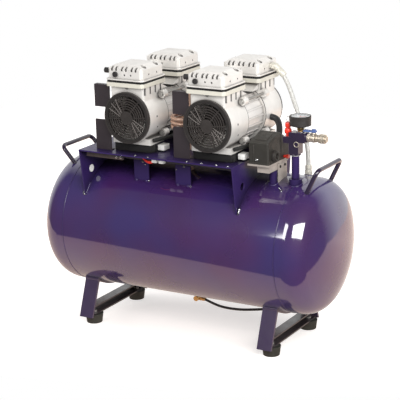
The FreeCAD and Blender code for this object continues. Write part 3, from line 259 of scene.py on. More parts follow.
# Painted shade: the deck's purple is darker than the tank's, for the shade that falls on the deck under the
# pumps
deck_paint = surface("deck_paint", (0.026, 0.012, 0.080), roughness=0.5, coat=0.3, coat_roughness=0.12,
                     wear=(0.09, 0.06, 0.16), grain=0.05, grain_scale=350, specular=0.2,
                     crevice_shade=(0.004, 0.002, 0.008), shade_reach=0.05)
channel_paint = surface("channel_paint", (0.040, 0.031, 0.034), roughness=0.4, coat=0.5, coat_roughness=0.15,
                        grain=0.06, grain_scale=400)
frame_paint = surface("frame_paint", (0.042, 0.027, 0.066), roughness=0.36, coat=0.7, coat_roughness=0.12,
                      wear=(0.11, 0.07, 0.15), grain=0.06, grain_scale=350)
handle_paint = surface("handle_paint", (0.022, 0.014, 0.036), roughness=0.3, coat=0.9, coat_roughness=0.08,
                       wear=(0.14, 0.10, 0.16), grain=0.05, grain_scale=350)
dark_paint = surface("dark_paint", (0.030, 0.022, 0.026), roughness=0.5, grain=0.12, grain_scale=600,
                     wear=(0.10, 0.07, 0.08))
cast_silver = surface("cast_silver", SILVER, metallic=0.4, roughness=0.36, variation=0.06, mottle=30,
                      grain=0.22, grain_scale=900, soft_edge=0.0012, wear=(0.86, 0.85, 0.82),
                      rough_spread=0.06, crevice_shade=(0.22, 0.205, 0.195))
barrel_silver = surface("barrel_silver", (0.84, 0.81, 0.78), metallic=0.4, roughness=0.36, variation=0.05,
                        mottle=30, grain=0.15, grain_scale=700, soft_edge=0.0009,
                        crevice_shade=(0.40, 0.38, 0.36))
cast_cream = surface("cast_cream", (0.72, 0.69, 0.60), metallic=0.3, roughness=0.4, variation=0.05,
                     grain=0.12, grain_scale=900, wear=(0.9, 0.88, 0.82))
steel = surface("steel", BARE_STEEL, metallic=0.85, roughness=0.34, variation=0.10, mottle=60, grain=0.08,
                rough_spread=0.12)
dull_steel = surface("dull_steel", (0.42, 0.41, 0.39), metallic=0.7, roughness=0.48, variation=0.15,
                     mottle=60, grain=0.1, crevice_shade=(0.30, 0.29, 0.28))
dark_steel_and_shade = surface("dark_steel_and_shade", (0.05, 0.048, 0.045), metallic=0.8, roughness=0.4, variation=0.15,
                     mottle=60, grain=0.1)
angle_metal = surface("angle_metal", (0.07, 0.052, 0.05), metallic=0.3, roughness=0.42, variation=0.15,
                      mottle=40, grain=0.12)
beige_metal = surface("beige_metal", (0.42, 0.37, 0.33), metallic=0.3, roughness=0.42, variation=0.12,
                      mottle=40, grain=0.12, wear=(0.62, 0.58, 0.54))
chrome = surface("chrome", (0.72, 0.72, 0.72), metallic=1, roughness=0.14, variation=0.04, mottle=60,
                 grain=0.03, rough_spread=0.05)
brass = surface("brass", (0.66, 0.42, 0.17), metallic=1, roughness=0.3, variation=0.14, mottle=80,
                grain=0.06, wear=(0.8, 0.6, 0.35), rough_spread=0.12)
copper = surface("copper", (0.68, 0.45, 0.34), metallic=0.65, roughness=0.42, variation=0.06, mottle=60,
                 grain=0.05, rough_spread=0.05)
rubber = surface("rubber", (0.018, 0.018, 0.017), roughness=0.72, variation=0.2, mottle=40, grain=0.25,
                 grain_scale=1200, wear=(0.06, 0.06, 0.055), rough_spread=0.1)
foot_rubber = surface("foot_rubber", (0.030, 0.030, 0.024), roughness=0.62, variation=0.2, mottle=50,
                      grain=0.25, grain_scale=1200, soft_edge=0.0015, wear=(0.09, 0.09, 0.075))
gasket_black = surface("gasket_black", (0.010, 0.009, 0.009), roughness=0.6, grain=0.3, grain_scale=1500)
# Painted highlight: a paler copy of the black guard plastic, for the light along the fan guard ribs
rib_highlight_plastic = surface("rib_highlight_plastic", (0.17, 0.15, 0.14), roughness=0.4, grain=0.1, grain_scale=900)
nickel = surface("nickel", (0.62, 0.55, 0.45), metallic=0.75, roughness=0.36, variation=0.14,
                 mottle=90, grain=0.1)
black_plastic = surface("black_plastic", (0.030, 0.025, 0.023), roughness=0.42, variation=0.12, mottle=60,
                        grain=0.25, grain_scale=1600, wear=(0.10, 0.08, 0.07))
switch_plastic = surface("switch_plastic", (0.030, 0.027, 0.022), roughness=0.48, variation=0.12, mottle=30,
                         grain=0.4, grain_scale=2200, soft_edge=0.001, wear=(0.12, 0.10, 0.09))
white_plastic = surface("white_plastic", (0.82, 0.81, 0.78), roughness=0.35, grain=0.06, variation=0.04)
red_plastic = surface("red_plastic", (0.75, 0.035, 0.018), roughness=0.28, coat=0.4, variation=0.1,
                      mottle=60, grain=0.05)
blue_plastic = surface("blue_plastic", (0.075, 0.13, 0.33), roughness=0.35, variation=0.1, mottle=70,
                       grain=0.12, wear=(0.3, 0.36, 0.5))
silencer_plastic = surface("silencer_plastic", (0.022, 0.020, 0.020), roughness=0.5, grain=0.3,
                           grain_scale=1400, variation=0.15)
weld_paint = surface("weld_paint", (0.028, 0.013, 0.085), roughness=0.34, coat=0.8, coat_roughness=0.1,
                     grain=0.5, grain_scale=420, variation=0.2, mottle=120)
dial_white = surface("dial_white", (0.86, 0.86, 0.84), roughness=0.5, grain=0.04, variation=0.02)
dial_black = surface("dial_black", (0.012, 0.012, 0.012), roughness=0.5, grain=0.04)
lens_glass = surface("lens_glass", (0.95, 0.97, 0.98), roughness=0.04, rough_spread=0.02, grain=0.01,
                     clear=1.0, variation=0.01)

FINISHES = {
    tank_paint: ("tank_shell", "tank_end_left", "tank_end_right"),
    frame_paint: ("leg_strap_left", "leg_strap_right"),
    channel_paint: ("foot_channels",),
    handle_paint: ("lifting_handle_left", "lifting_handle_right", "manifold_block"),
    foot_rubber: ("rubber_feet",),
    rubber: ("rubber_mounts", "motor_leads"),
    deck_paint: ("pump_deck", "pressure_switch_pipe", "manifold_pipe"),
    dark_paint: ("baffle_plates",),
    # The liners are dark so that the vents in the heads show dark inside: painted shade; the cranks, pistons
    # and bracket screws are dark steel
    dark_steel_and_shade: ("cylinder_liners", "cranks_and_pistons"),
    cast_silver: ("left_crankcase_front", "left_crankcase_rear", "right_crankcase_front",
                  "right_crankcase_rear", "left_cylinder_heads", "right_cylinder_heads"),
    barrel_silver: ("left_motor_barrel", "right_motor_barrel"),
    cast_cream: ("valve_plates", "hose_fittings"),
    gasket_black: ("head_gaskets",),
    dull_steel: ("screws_and_nuts",),
    steel: ("left_rotor_shaft", "right_rotor_shaft", "motor_stators", "shaft_bearings",
            "safety_valve_ring"),
    beige_metal: ("pressure_switch_base",),
    black_plastic: ("left_fans", "right_fans", "left_fan_guards", "right_fan_guards", "gauge_case",
                    "cable_gland"),
    silencer_plastic: ("head_silencers",),
    switch_plastic: ("pressure_switch_cover",),
    white_plastic: ("crossover_pipes",),
    red_plastic: ("switch_knob", "safety_valve", "gauge_needle"),
    blue_plastic: ("ball_valve_lever",),
    copper: ("cooling_coil",),
    brass: ("gauge_stem", "drain_cock", "drain_tap"),
    nickel: ("ball_valve", "coupler_sleeve", "outlet_coupler"),
    lens_glass: ("gauge_lens",),
}


def haze(material, weight, roughness):
    """A pale bloom on the paint where it is seen at a slant."""
    shader = material.node_tree.nodes["Principled BSDF"]
    shader.inputs["Sheen Weight"].default_value = weight
    shader.inputs["Sheen Roughness"].default_value = roughness


haze(tank_paint, 0.6, 0.2)


def assign(piece, material):
    piece.data.materials.clear()
    piece.data.materials.append(material)


for material, names in FINISHES.items():
    for name in names:
        assign(nodes[name], material)


hose_braid = surface("hose_braid", (0.52, 0.51, 0.48), roughness=0.35, variation=0.25, mottle=420, grain=0.5,
                     grain_scale=900, coat=0.3, stretch=(1, 1, 0.35))
sleeve_rubber = surface("sleeve_rubber", (0.022, 0.020, 0.022), roughness=0.42, grain=0.4, grain_scale=500)
tube_rubber = surface("tube_rubber", (0.016, 0.015, 0.016), roughness=0.3, grain=0.08, coat=0.2)
for cord, material in ((hose, hose_braid), (lead, sleeve_rubber), (drain, tube_rubber)):
    cord.data.materials.append(material)


# Small pieces: built in mesh code, in millimetres

def lathe(bm, profile, at=(0, 0, 0), axis=(0, 0, 1), steps=32, spin=0.0):
    """A turned shape; the profile lists (radius, height) pairs along the axis. Six steps make a hexagon."""
    turn = Vector((0, 0, 1)).rotation_difference(Vector(axis).normalized())
    frame_at = Matrix.Translation(at) @ turn.to_matrix().to_4x4()
    rings = []
    for radius, height in profile:
        corners = [2 * math.pi * (step + spin) / steps for step in range(steps)]
        rings.append([bm.verts.new(frame_at @ Vector((radius * math.cos(a), radius * math.sin(a), height)))
                      for a in corners])
    for lower, upper in zip(rings, rings[1:]):
        for step in range(steps):
            after = (step + 1) % steps
            bm.faces.new((lower[step], lower[after], upper[after], upper[step]))
    bm.faces.new(rings[0][::-1])
    bm.faces.new(rings[-1])


def ring_lathe(bm, profile, at=(0, 0, 0), axis=(0, 0, 1), steps=48):
    """A turned ring: the profile is a closed outline that stays off the axis."""
    turn = Vector((0, 0, 1)).rotation_difference(Vector(axis).normalized())
    frame_at = Matrix.Translation(at) @ turn.to_matrix().to_4x4()
    hoops = []
    for step in range(steps):
        a = 2 * math.pi * step / steps
        hoops.append([bm.verts.new(frame_at @ Vector((radius * math.cos(a), radius * math.sin(a), height)))
                      for radius, height in profile])
    count = len(profile)
    for step in range(steps):
        here, there = hoops[step], hoops[(step + 1) % steps]
        for index in range(count):
            after = (index + 1) % count
            bm.faces.new((here[index], there[index], there[after], here[after]))


def slab(bm, low, high, edge=0.8, turn=None, about=(0, 0, 0)):
    """A box between two corners with its edges rounded over."""
    centre = (Vector(low) + Vector(high)) / 2
    size = Vector(high) - Vector(low)
    made = bmesh.ops.create_cube(bm, size=1)["verts"]
    for vert in made:
        vert.co = Vector((vert.co.x * size.x, vert.co.y * size.y, vert.co.z * size.z)) + centre
        if turn is not None:
            vert.co = turn @ (vert.co - Vector(about)) + Vector(about)
    edges = list(dict.fromkeys(side for vert in made for side in vert.link_edges))
    bmesh.ops.bevel(bm, geom=edges, offset=edge, segments=3, affect="EDGES", profile=0.5)


def string(bm, points, radius, lumps=0.0, pitch=3.0, sides=8):
    """A round string along the points; lumps makes it swell and shrink like a row of weld beads."""
    count = len(points)
    rings = []
    travelled = 0.0
    closed = (Vector(points[0]) - Vector(points[-1])).length < 0.001
    for index, point in enumerate(points):
        here = Vector(point)
        if closed:
            before = Vector(points[index - 1 if index else count - 2])
            after = Vector(points[index + 1 if index < count - 1 else 1])
        else:
            before = Vector(points[max(index - 1, 0)])
            after = Vector(points[min(index + 1, count - 1)])
        tangent = (after - before).normalized()
        if index:
            travelled += (here - Vector(points[index - 1])).length
        side = tangent.cross(Vector((0.31, 0.52, 0.79))).normalized()
        lift = side.cross(tangent)
        swell = radius * (1 - lumps * abs(math.sin(math.pi * travelled / pitch)))
        rings.append([bm.verts.new(here + (side * math.cos(a) + lift * math.sin(a)) * swell)
                      for a in (2 * math.pi * step / sides for step in range(sides))])
    for lower, upper in zip(rings, rings[1:]):
        for step in range(sides):
            after = (step + 1) % sides
            bm.faces.new((lower[step], lower[after], upper[after], upper[step]))
    bm.faces.new(rings[0][::-1])
    bm.faces.new(rings[-1])


def dressed(name, material, build, body=MAIN, sharp=40):
    """Turns a mesh-building function in millimetres into a piece of the object."""
    bm = bmesh.new()
    build(bm)
    bmesh.ops.scale(bm, vec=(MM, MM, MM), verts=bm.verts)
    bmesh.ops.recalc_face_normals(bm, faces=bm.faces)
    mesh = bpy.data.meshes.new(name)
    bm.to_mesh(mesh)
    bm.free()
    mesh.polygons.foreach_set("use_smooth", [True] * len(mesh.polygons))
    mesh.set_sharp_from_angle(angle=math.radians(sharp))
    piece = bpy.data.objects.new(name, mesh)
    bpy.context.scene.collection.objects.link(piece)
    mesh.materials.append(material)
    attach(piece, body)
    return piece


def bolt_head(radius, tall):
    """Profile of a domed washer head."""
    return [(radius * 1.25, 0), (radius * 1.25, tall * 0.2), (radius, tall * 0.25), (radius, tall * 0.75),
            (radius * 0.72, tall)]


def circle(centre, radius, steps, normal):
    turn = Vector((0, 0, 1)).rotation_difference(Vector(normal).normalized())
    return [Vector(centre) + turn @ Vector((radius * math.cos(a), radius * math.sin(a), 0))
            for a in (math.radians(360 * step / steps) for step in range(steps + 1))]


# Places that the small pieces share, in millimetres

TANK_AXIS_Z = 229
TANK_RADIUS = 150
SEAM_X = 267.5
DECK_TOP = 422
UNIT_X = (-100, 100)
SHAFT_Z = 501
DRUM_RADIUS = 58
GUARD_FACES = ((-125, -1), (117, 1))
TAPPED_HOLES = ((3, -92), (-22, -85))
OUTLET_Y = -35
OUTLET_Z = 477
RISER_X = 264
GAUGE_X = 276
DIAL_Z = 518
TICKS_Z = (518.15, 518.3)
NUMBERS_Z = 518.24
NUMBERS_RADIUS = 12.4
TICKS_RADIUS = 19.2
TICK_COUNT = 50
DIAL_START = 225
DIAL_SWEEP = 270
SAFETY_VALVE_X = 247
GLAND_Y = -64.25
GLAND_Z = 437
HOSE_TOP = (156, 87.5, 598)
HOSE_FOOT = (257, 42)
PIPE_FEET = ((216, -45, 9.6), (RISER_X, OUTLET_Y, 15), (*HOSE_FOOT, 8.6))


def tank_z(y):
    return TANK_AXIS_Z + math.sqrt(TANK_RADIUS ** 2 - y * y)


def on_tank(x, y, radius, steps=48):
    """A closed path round an upright pipe's foot, lying on the receiver's shell."""
    return [Vector((x + radius * math.cos(a), y + radius * math.sin(a), tank_z(y + radius * math.sin(a))))
            for a in (2 * math.pi * step / steps for step in range(steps + 1))]


def welds(bm):
    for x in (-SEAM_X, SEAM_X):
        string(bm, circle((x, 0, TANK_AXIS_Z), TANK_RADIUS, 360, (1, 0, 0)), 1.0, 0.35, 4.2)
    for x, y, radius in PIPE_FEET:
        string(bm, on_tank(x, y, radius), 1.9, 0.35, 3.4)
    for x, inward in ((-221, 3.6), (168, -3.6)):
        for front in (-1, 1):
            path = [Vector((x + inward, y * front, tank_z(y)))
                    for y in (122 - 0.8 * step for step in range(24))]
            string(bm, path, 2.2, 0.4, 4)
    for low_x in (-111.5, -4.5):
        for edge_x in (low_x + 6, low_x + 32):
            for front in (-1, 1):
                lathe(bm, [(3.4, -1), (3.0, 1.2), (1.5, 2.2)], (edge_x, 84.5 * front, tank_z(84.5) + 0.6),
                      (0, front, 1), 10)


def saddle_corner_welds(bm):
    """The thick bright blobs at the saddles' lower front and back corners."""
    for x in (-223.4, 170.4):
        for front in (-1, 1):
            path = [Vector((x, y * front, tank_z(y) + 1)) for y in (123 - 1.2 * step for step in range(9))]
            string(bm, path, 2.8, 0.45, 4.6)


def deck_studs(bm):
    """Small domed screws along the deck's front and back edges."""
    for x in (-74, -42, 56, 92, 128, 156):
        for front in (-1, 1):
            lathe(bm, bolt_head(2.3, 2.4), (x, 136 * front, DECK_TOP), (0, 0, 1), 14)
    for x in (-88, 18):
        for front in (-1, 1):
            lathe(bm, bolt_head(2.4, 2.4), (x, 83.5 * front, 396), (0, front, 0), 14)


def deck_angles(bm):
    """Pressed angle strips under the deck's front and back edges."""
    for front in (-1, 1):
        slab(bm, (-208, 124 * front - 3, 406), (-112, 124 * front + 3, 418.5), 1.2)


def deck_angle_screws(bm):
    for x in (-128, -117):
        for front in (-1, 1):
            lathe(bm, bolt_head(3, 2.6), (x, 127 * front, 412.5), (0, front, 0), 16)


def hole_caps(bm):
    """White domed pieces in the left saddle's round holes, which make the holes show white."""
    for front in (-1, 1):
        lathe(bm, [(8.6, -3.4), (8.6, 0.1), (10, 0.3), (9.8, 1.2), (8, 2.0), (4.5, 2.5)],
              (-221, 95 * front, 370), (-1, 0, 0), 32)


def wire_blocks(bm):
    """White push-in connector blocks on the motor leads, beside each unit's base."""
    for unit_x in UNIT_X:
        slab(bm, (unit_x + 49.5, -80, 424.5), (unit_x + 66, -56, 437), 1.4)
        slab(bm, (unit_x + 49.5, 26, 424.5), (unit_x + 66, 38, 436), 1.2)


def underside_blocks(bm):
    for x in (-48, -30):
        slab(bm, (x, -112, 404), (x + 13, -100, 411), 1.2)


def red_wires(bm):
    for lift in (0, 3.4, 6.2):
        points = [(-78 + lift, -104, 414), (-70, -106 + lift / 2, 408 - lift / 2),
                  (-60, -107, 405 - lift / 2), (-52, -106, 405 - lift / 2), (-44, -104, 408)]
        string(bm, smooth_path(points, 6), 1.5)


def looms_and_shade(bm):
    """Taped wiring looms held up against the deck's underside; their dark bulk also paints the shade under
    the deck.
    """
    for y, z, radius in ((-96, 409, 6.5), (-62, 410, 5.5), (98, 409, 6)):
        points = [(-205, y, z), (-150, y + 6, z - 1.5), (-95, y - 3, z + 0.5), (-45, y + 5, z - 2),
                  (0, y - 4, z), (55, y + 5, z - 1.5), (110, y - 4, z), (160, y + 2, z)]
        string(bm, smooth_path(points, 8), radius, 0.12, 9, 12)


def smooth_path(points, cuts):
    """The same points with a smooth curve drawn through them."""
    knots = [Vector(point) for point in points]
    knots = [knots[0] * 2 - knots[1], *knots, knots[-1] * 2 - knots[-2]]
    path = []
    for index in range(1, len(knots) - 2):
        a, b, c, d = knots[index - 1:index + 3]
        for step in range(cuts):
            u = step / cuts
            path.append(0.5 * ((2 * b) + (c - a) * u + (2 * a - 5 * b + 4 * c - d) * u * u
                               + (3 * b - a - 3 * c + d) * u ** 3))
    path.append(knots[-2])
    return path


dressed("weld_beads", weld_paint, welds, sharp=60)
dressed("saddle_corner_beads", chrome, saddle_corner_welds, sharp=60)
dressed("deck_screws", chrome, deck_studs)
dressed("deck_angle_strips", angle_metal, deck_angles)
dressed("deck_angle_screws", chrome, deck_angle_screws)
dressed("saddle_hole_caps", white_plastic, hole_caps)
dressed("wire_connectors", white_plastic, wire_blocks)
dressed("underside_connectors", white_plastic, underside_blocks)
dressed("red_wires", red_plastic, red_wires)
dressed("wiring_looms_and_shade", sleeve_rubber, looms_and_shade)


def switch_bracket(bm):
    """Bent sheet that braces the pressure switch against the receiver, with its two screws."""
    slab(bm, (225.1, -42, 372), (227.1, -2, 416.8), 0.5)
    slab(bm, (225.1, -42, 414.6), (229.8, -2, 416.8), 0.5)


def bracket_screws(bm):
    for y in (-34, -12):
        lathe(bm, bolt_head(2.6, 2.2), (227.1, y, 407), (1, 0, 0), 16)


def switch_trim(bm):
    """Raised pad on the cover's front slope, parting lip, and its screw."""
    slope = math.atan2(482 - 469, 55.5)
    turn = Matrix.Rotation(slope, 3, "X")
    centre = Vector((203.5, -61, 475.6))
    slab(bm, centre + Vector((-13, -17, -1.6)), centre + Vector((13, 17, 1.5)), 1.2, turn, centre)
    slab(bm, (179.2, -89.2, 421.4), (227.8, 9.2, 424.6), 0.9)
    slab(bm, (190.8, -89.3, 426), (193.4, -88, 462), 0.5)
    slab(bm, (227, -30.6, 424), (228.2, -28.4, 478), 0.5)


def switch_screw(bm):
    lathe(bm, [(3.2, -0.5), (3.2, 0.8), (2.4, 1.6), (1.0, 1.6), (0.6, 0.9)], (199.5, -88.6, 431),
          (0, -1, 0), 20)


def gland_ribs(bm):
    """Ribbed nut of the cable gland, with a thick lip round its mouth."""
    ring_lathe(bm, [(6.6, 4.6), (6.6, 8.4), (8.2, 9.2), (10.4, 8.6), (10.8, 7.0), (10.6, 4.6)],
               (227.5, GLAND_Y, GLAND_Z), (1, 0, 0), 40)
    for step in range(18):
        a = 2 * math.pi * step / 18
        y, z = GLAND_Y + 11.6 * math.cos(a), GLAND_Z + 11.6 * math.sin(a)
        slab(bm, (228.2, y - 0.9, z - 0.9), (233.6, y + 0.9, z + 0.9), 0.4)


def manifold_trim(bm):
    """Cast bosses on the manifold: a plug seat on its front face and collars at its ports."""
    ring_lathe(bm, [(9.6, -0.4), (9.6, 2.6), (11.2, 3), (11.9, 1.5), (11.9, -0.4)],
               (RISER_X, OUTLET_Y, 437.4), (0, 0, 1), 40)
    ring_lathe(bm, [(7.8, 0), (7.8, 3.4), (10.4, 3.8), (10.9, 1.8), (10.9, 0)],
               (290.2, OUTLET_Y, OUTLET_Z), (1, 0, 0), 40)
    ring_lathe(bm, [(5.6, -0.4), (5.6, 1.6), (8.4, 2), (9, 0.8), (9, -0.4)],
               (GAUGE_X, OUTLET_Y, 486.8), (0, 0, 1), 32)


def plug_seat(bm):
    ring_lathe(bm, [(4.6, -0.3), (4.6, 0.7), (5.4, 1.1), (6.2, 0.7), (6.2, -0.3)],
               (271.5, -46.5, 462), (0, -1, 0), 32)


def pipe_tape(bm):
    """White sealing tape that shows at the riser's thread."""
    ring_lathe(bm, [(8.6, -1.0), (9.6, -0.8), (9.9, 0.2), (9.6, 1.0), (8.6, 1.0)],
               (RISER_X, OUTLET_Y, 436.2), (0, 0, 1), 40)


def valve_knob_caps(bm):
    """Bulging grips over the safety valve's two knobs."""
    for profile in ([(6.3, 482.2), (7.3, 483.2), (7.7, 486), (7.7, 489), (7.3, 491.8), (6.3, 492.8)],
                    [(5.2, 495.2), (6.2, 496.2), (6.5, 499), (6.5, 502), (6.1, 504.6), (4.8, 506)]):
        lathe(bm, profile, (SAFETY_VALVE_X, OUTLET_Y, 0), (0, 0, 1), 36)


def valve_body_trim(bm):
    """Hexagon ends and stem collar of the ball valve."""
    lathe(bm, [(9.6, 0.4), (10.4, 1.2), (10.4, 5.2), (9.6, 6)], (293.4, OUTLET_Y, OUTLET_Z),
          (1, 0, 0), 6, 0.5)
    lathe(bm, [(9.4, 0.2), (10.2, 1), (10.2, 4.2), (9.4, 5)], (305.6, OUTLET_Y, OUTLET_Z),
          (1, 0, 0), 6, 0.5)
    ring_lathe(bm, [(3.1, 0), (3.1, 2.8), (4.8, 2.8), (5.4, 2.0), (5.4, 0)], (307, OUTLET_Y, 486.2),
               (0, 0, 1), 28)


def coupler_knurl(bm):
    """Knurling and end lip of the outlet's sliding sleeve."""
    for step in range(22):
        a = 2 * math.pi * step / 22
        y, z = OUTLET_Y + 9.5 * math.cos(a), OUTLET_Z + 9.5 * math.sin(a)
        slab(bm, (322.5, y - 0.65, z - 0.65), (329.5, y + 0.65, z + 0.65), 0.3)
    ring_lathe(bm, [(9.4, 0), (9.4, 2), (10.1, 1.8), (10.3, 1), (10.1, 0.2)],
               (331.4, OUTLET_Y, OUTLET_Z), (1, 0, 0), 40)


def coupler_end(bm):
    """Nose of the outlet socket, with its seal ring."""
    ring_lathe(bm, [(3.6, -0.5), (3.6, -2.4), (7.0, -2.4), (7.35, -1.4), (7.0, 0), (5.0, 0.1)],
               (336.8, OUTLET_Y, OUTLET_Z), (1, 0, 0), 36)
    ring_lathe(bm, [(6.9, 0), (6.9, 3), (8.1, 3), (8.4, 2.4), (8.4, 0.6), (8.1, 0)],
               (312.4, OUTLET_Y, OUTLET_Z), (1, 0, 0), 36)


def lever_grip(bm):
    """Ribbed plastic sleeve on the ball valve's lever."""
    slab(bm, (284.9, -40.3, 489.8), (300, -29.7, 493.2), 1.3)
    for x in (287, 289.4, 291.8, 294.2, 296.6):
        slab(bm, (x - 0.5, -39.6, 492.9), (x + 0.5, -30.4, 493.8), 0.3)


def gauge_rim(bm):
    ring_lathe(bm, [(23, 17.5), (23.2, 19.5), (23.2, 25.5), (22.4, 26.0), (21.3, 26.0), (21.3, 24.5),
                    (22.4, 23.5)], (GAUGE_X, OUTLET_Y, 497), (0, 0, 1), 64)


def gauge_dial(bm):
    ring_lathe(bm, [(2.3, -0.1), (2.3, 0.2), (21.2, 0.2), (21.2, -0.1)],
               (GAUGE_X, OUTLET_Y, DIAL_Z), (0, 0, 1), 64)


def gauge_ticks(bm):
    for step in range(TICK_COUNT + 1):
        a = math.radians(DIAL_START - DIAL_SWEEP * step / TICK_COUNT)
        inner = 15.6 if step % 10 == 0 else 16.6 if step % 5 == 0 else 17.8
        turn = Matrix.Rotation(a, 3, "Z")
        width = 0.34 if step % 10 == 0 else 0.2
        slab(bm, (GAUGE_X + inner, OUTLET_Y - width, TICKS_Z[0]),
             (GAUGE_X + TICKS_RADIUS, OUTLET_Y + width, TICKS_Z[1]), 0.03, turn, (GAUGE_X, OUTLET_Y, DIAL_Z))
    ring_lathe(bm, [(19.4, 0), (19.4, 0.14), (19.9, 0.14), (19.9, 0)], (GAUGE_X, OUTLET_Y, TICKS_Z[0]),
               (0, 0, 1), 64)


def dial_numbers(bm):
    """Plain numbers 0 to 10 round the dial."""
    for count in range(6):
        a = math.radians(DIAL_START - DIAL_SWEEP * count / 5)
        text = bpy.data.curves.new("digits", "FONT")
        text.body = str(count * 2)
        text.size = 4.6
        text.extrude = 0.04
        text.align_x = "CENTER"
        text.align_y = "CENTER"
        digits = bpy.data.objects.new("digits", text)
        mesh = bpy.data.meshes.new_from_object(digits)
        place = (GAUGE_X + NUMBERS_RADIUS * math.cos(a), OUTLET_Y + NUMBERS_RADIUS * math.sin(a), NUMBERS_Z)
        mesh.transform(Matrix.Translation(place))
        bm.from_mesh(mesh)
        bpy.data.objects.remove(digits)
        bpy.data.meshes.remove(mesh)


def hose_ferrules(bm):
    """Crimped sleeves, hexagons and collars on both ends of the discharge hose."""
    start = Vector(HOSE_TOP)
    way = (Vector((172, 88, 583)) - start).normalized()
    profile = [(7.7, 1), (7.7, 5.5), (6.6, 6.2), (7.4, 7.4), (7.4, 9.6), (6.6, 10.4), (7.4, 11.4), (7.4, 27),
               (6.2, 28.5)]
    lathe(bm, profile, start, way, 32)
    lathe(bm, [(7.4, 0), (7.4, 1.4), (6.6, 2.2), (7.2, 3.4), (7.2, 12), (6.0, 13.2)], (*HOSE_FOOT, 383),
          (0, 0, 1), 32)


def hose_hexes(bm):
    lathe(bm, [(8.2, 0), (9.0, 0.8), (9.0, 5.4), (8.2, 6.2)], (148.2, 87.5, 598), (1, 0, 0), 6)
    lathe(bm, [(8.6, 0), (9.4, 0.8), (9.4, 5.6), (8.6, 6.4)], (*HOSE_FOOT, tank_z(HOSE_FOOT[1]) + 3.5),
          (0, 0, 1), 6)


def drain_trim(bm):
    lathe(bm, [(9.8, 0), (10.6, 0.8), (10.6, 5.2), (9.8, 6)], (0, 0, 70.6), (0, 0, 1), 6)
    way = (Vector((40, 0, 54.5)) - Vector((0, 0, 68))).normalized()
    ring_lathe(bm, [(6.1, 5), (6.1, 8), (7.2, 7.6), (7.6, 6.5), (7.2, 5.3)], (0, 0, 68), way, 28)
    ring_lathe(bm, [(3.2, 11), (3.2, 16), (4.2, 15.4), (4.8, 14), (5.0, 11.6)], (0, 0, 68), way, 28)


dressed("switch_bracket", beige_metal, switch_bracket)
dressed("bracket_screws", dark_steel_and_shade, bracket_screws)
dressed("switch_trim", switch_plastic, switch_trim)
dressed("switch_screw", chrome, switch_screw)
dressed("gland_nut", switch_plastic, gland_ribs)
dressed("manifold_collars", handle_paint, manifold_trim)
dressed("manifold_plug_seat", nickel, plug_seat)
dressed("pipe_tape", white_plastic, pipe_tape)
dressed("safety_valve_grips", red_plastic, valve_knob_caps)
dressed("ball_valve_hexagons", nickel, valve_body_trim)
dressed("sleeve_knurl", nickel, coupler_knurl, "sleeve")
dressed("coupler_nose", nickel, coupler_end)
dressed("lever_grip", blue_plastic, lever_grip, "valve_lever")
dressed("gauge_rim", black_plastic, gauge_rim)
dressed("gauge_dial", dial_white, gauge_dial)
dressed("gauge_ticks", dial_black, gauge_ticks)
dressed("dial_numbers", dial_black, dial_numbers)
dressed("hose_ferrules", cast_cream, hose_ferrules)
dressed("hose_hexagons", cast_cream, hose_hexes)
dressed("drain_trim", brass, drain_trim)


def base_shade_strips(bm):
    """Near-black strips between each unit's two front and two back mounts under its base: painted shade
    where the base shades the deck.
    """
    for unit_x in UNIT_X:
        for low_y, high_y in ((-102.5, -80), (72, 94)):
            slab(bm, (unit_x - 47, low_y, 422), (unit_x + 47, high_y, 439.8), 1)


def guard_groove_shade(bm):
    """Black rings round the outer rim of each fan guard: painted shade for the grille gaps there."""
    for unit_x in UNIT_X:
        for face, way in GUARD_FACES:
            for inner, outer in ((48.6, 50.2), (52, 53.6)):
                ring_lathe(bm, [(inner, -0.6), (inner, 0.15), (outer, 0.15), (outer, -0.6)],
                           (unit_x, face, SHAFT_Z), (0, way, 0), 64)


def guard_vanes(bm):
    """Swept ribs across each fan guard, in a paler plastic that paints the highlights along them."""
    for unit_x in UNIT_X:
        for face, way in GUARD_FACES:
            for degrees in (118, 134, 150, 298, 314, 330):
                a = math.radians(degrees)
                turn = Matrix.Rotation(-a, 3, "Y")
                centre = Vector((unit_x, face, SHAFT_Z))
                low_y, high_y = sorted((face - 1.5 * way, face + 0.25 * way))
                slab(bm, (unit_x + 15, low_y, SHAFT_Z + 5.4), (unit_x + 47.5, high_y, SHAFT_Z + 6.6), 0.1,
                     turn, centre)


def tapped_holes():
    """Where each tapped hole in the front crankcases' right side lies, and the way it faces."""
    for unit_x in UNIT_X:
        for degrees, y in TAPPED_HOLES:
            a = math.radians(degrees)
            way = Vector((math.cos(a), 0, math.sin(a)))
            yield Vector((unit_x, y, SHAFT_Z)) + way * DRUM_RADIUS, way


# Black discs in the tapped holes: painted shade for the holes' dark insides
def drum_hole_shade(bm):
    for at, way in tapped_holes():
        lathe(bm, [(2.3, -1), (2.3, 0.12)], at, way, 24)


def drum_hole_rims(bm):
    for at, way in tapped_holes():
        ring_lathe(bm, [(2.3, -1), (2.3, 0.4), (3.4, 0.3), (3.8, -1)], at, way, 28)


def neck_screws(bm):
    """One screw under each front head."""
    for unit_x in UNIT_X:
        lathe(bm, bolt_head(3, 2.4), (unit_x, -119, 567), (0, -1, 0), 24)


def case_joints(bm):
    """Dark joint lines where the crankcases meet the motor barrel."""
    for unit_x in UNIT_X:
        for y in (-44, 36):
            ring_lathe(bm, [(57.4, -0.5), (58.15, -0.5), (58.15, 0.5), (57.4, 0.5)], (unit_x, y, SHAFT_Z),
                       (0, 1, 0), 72)


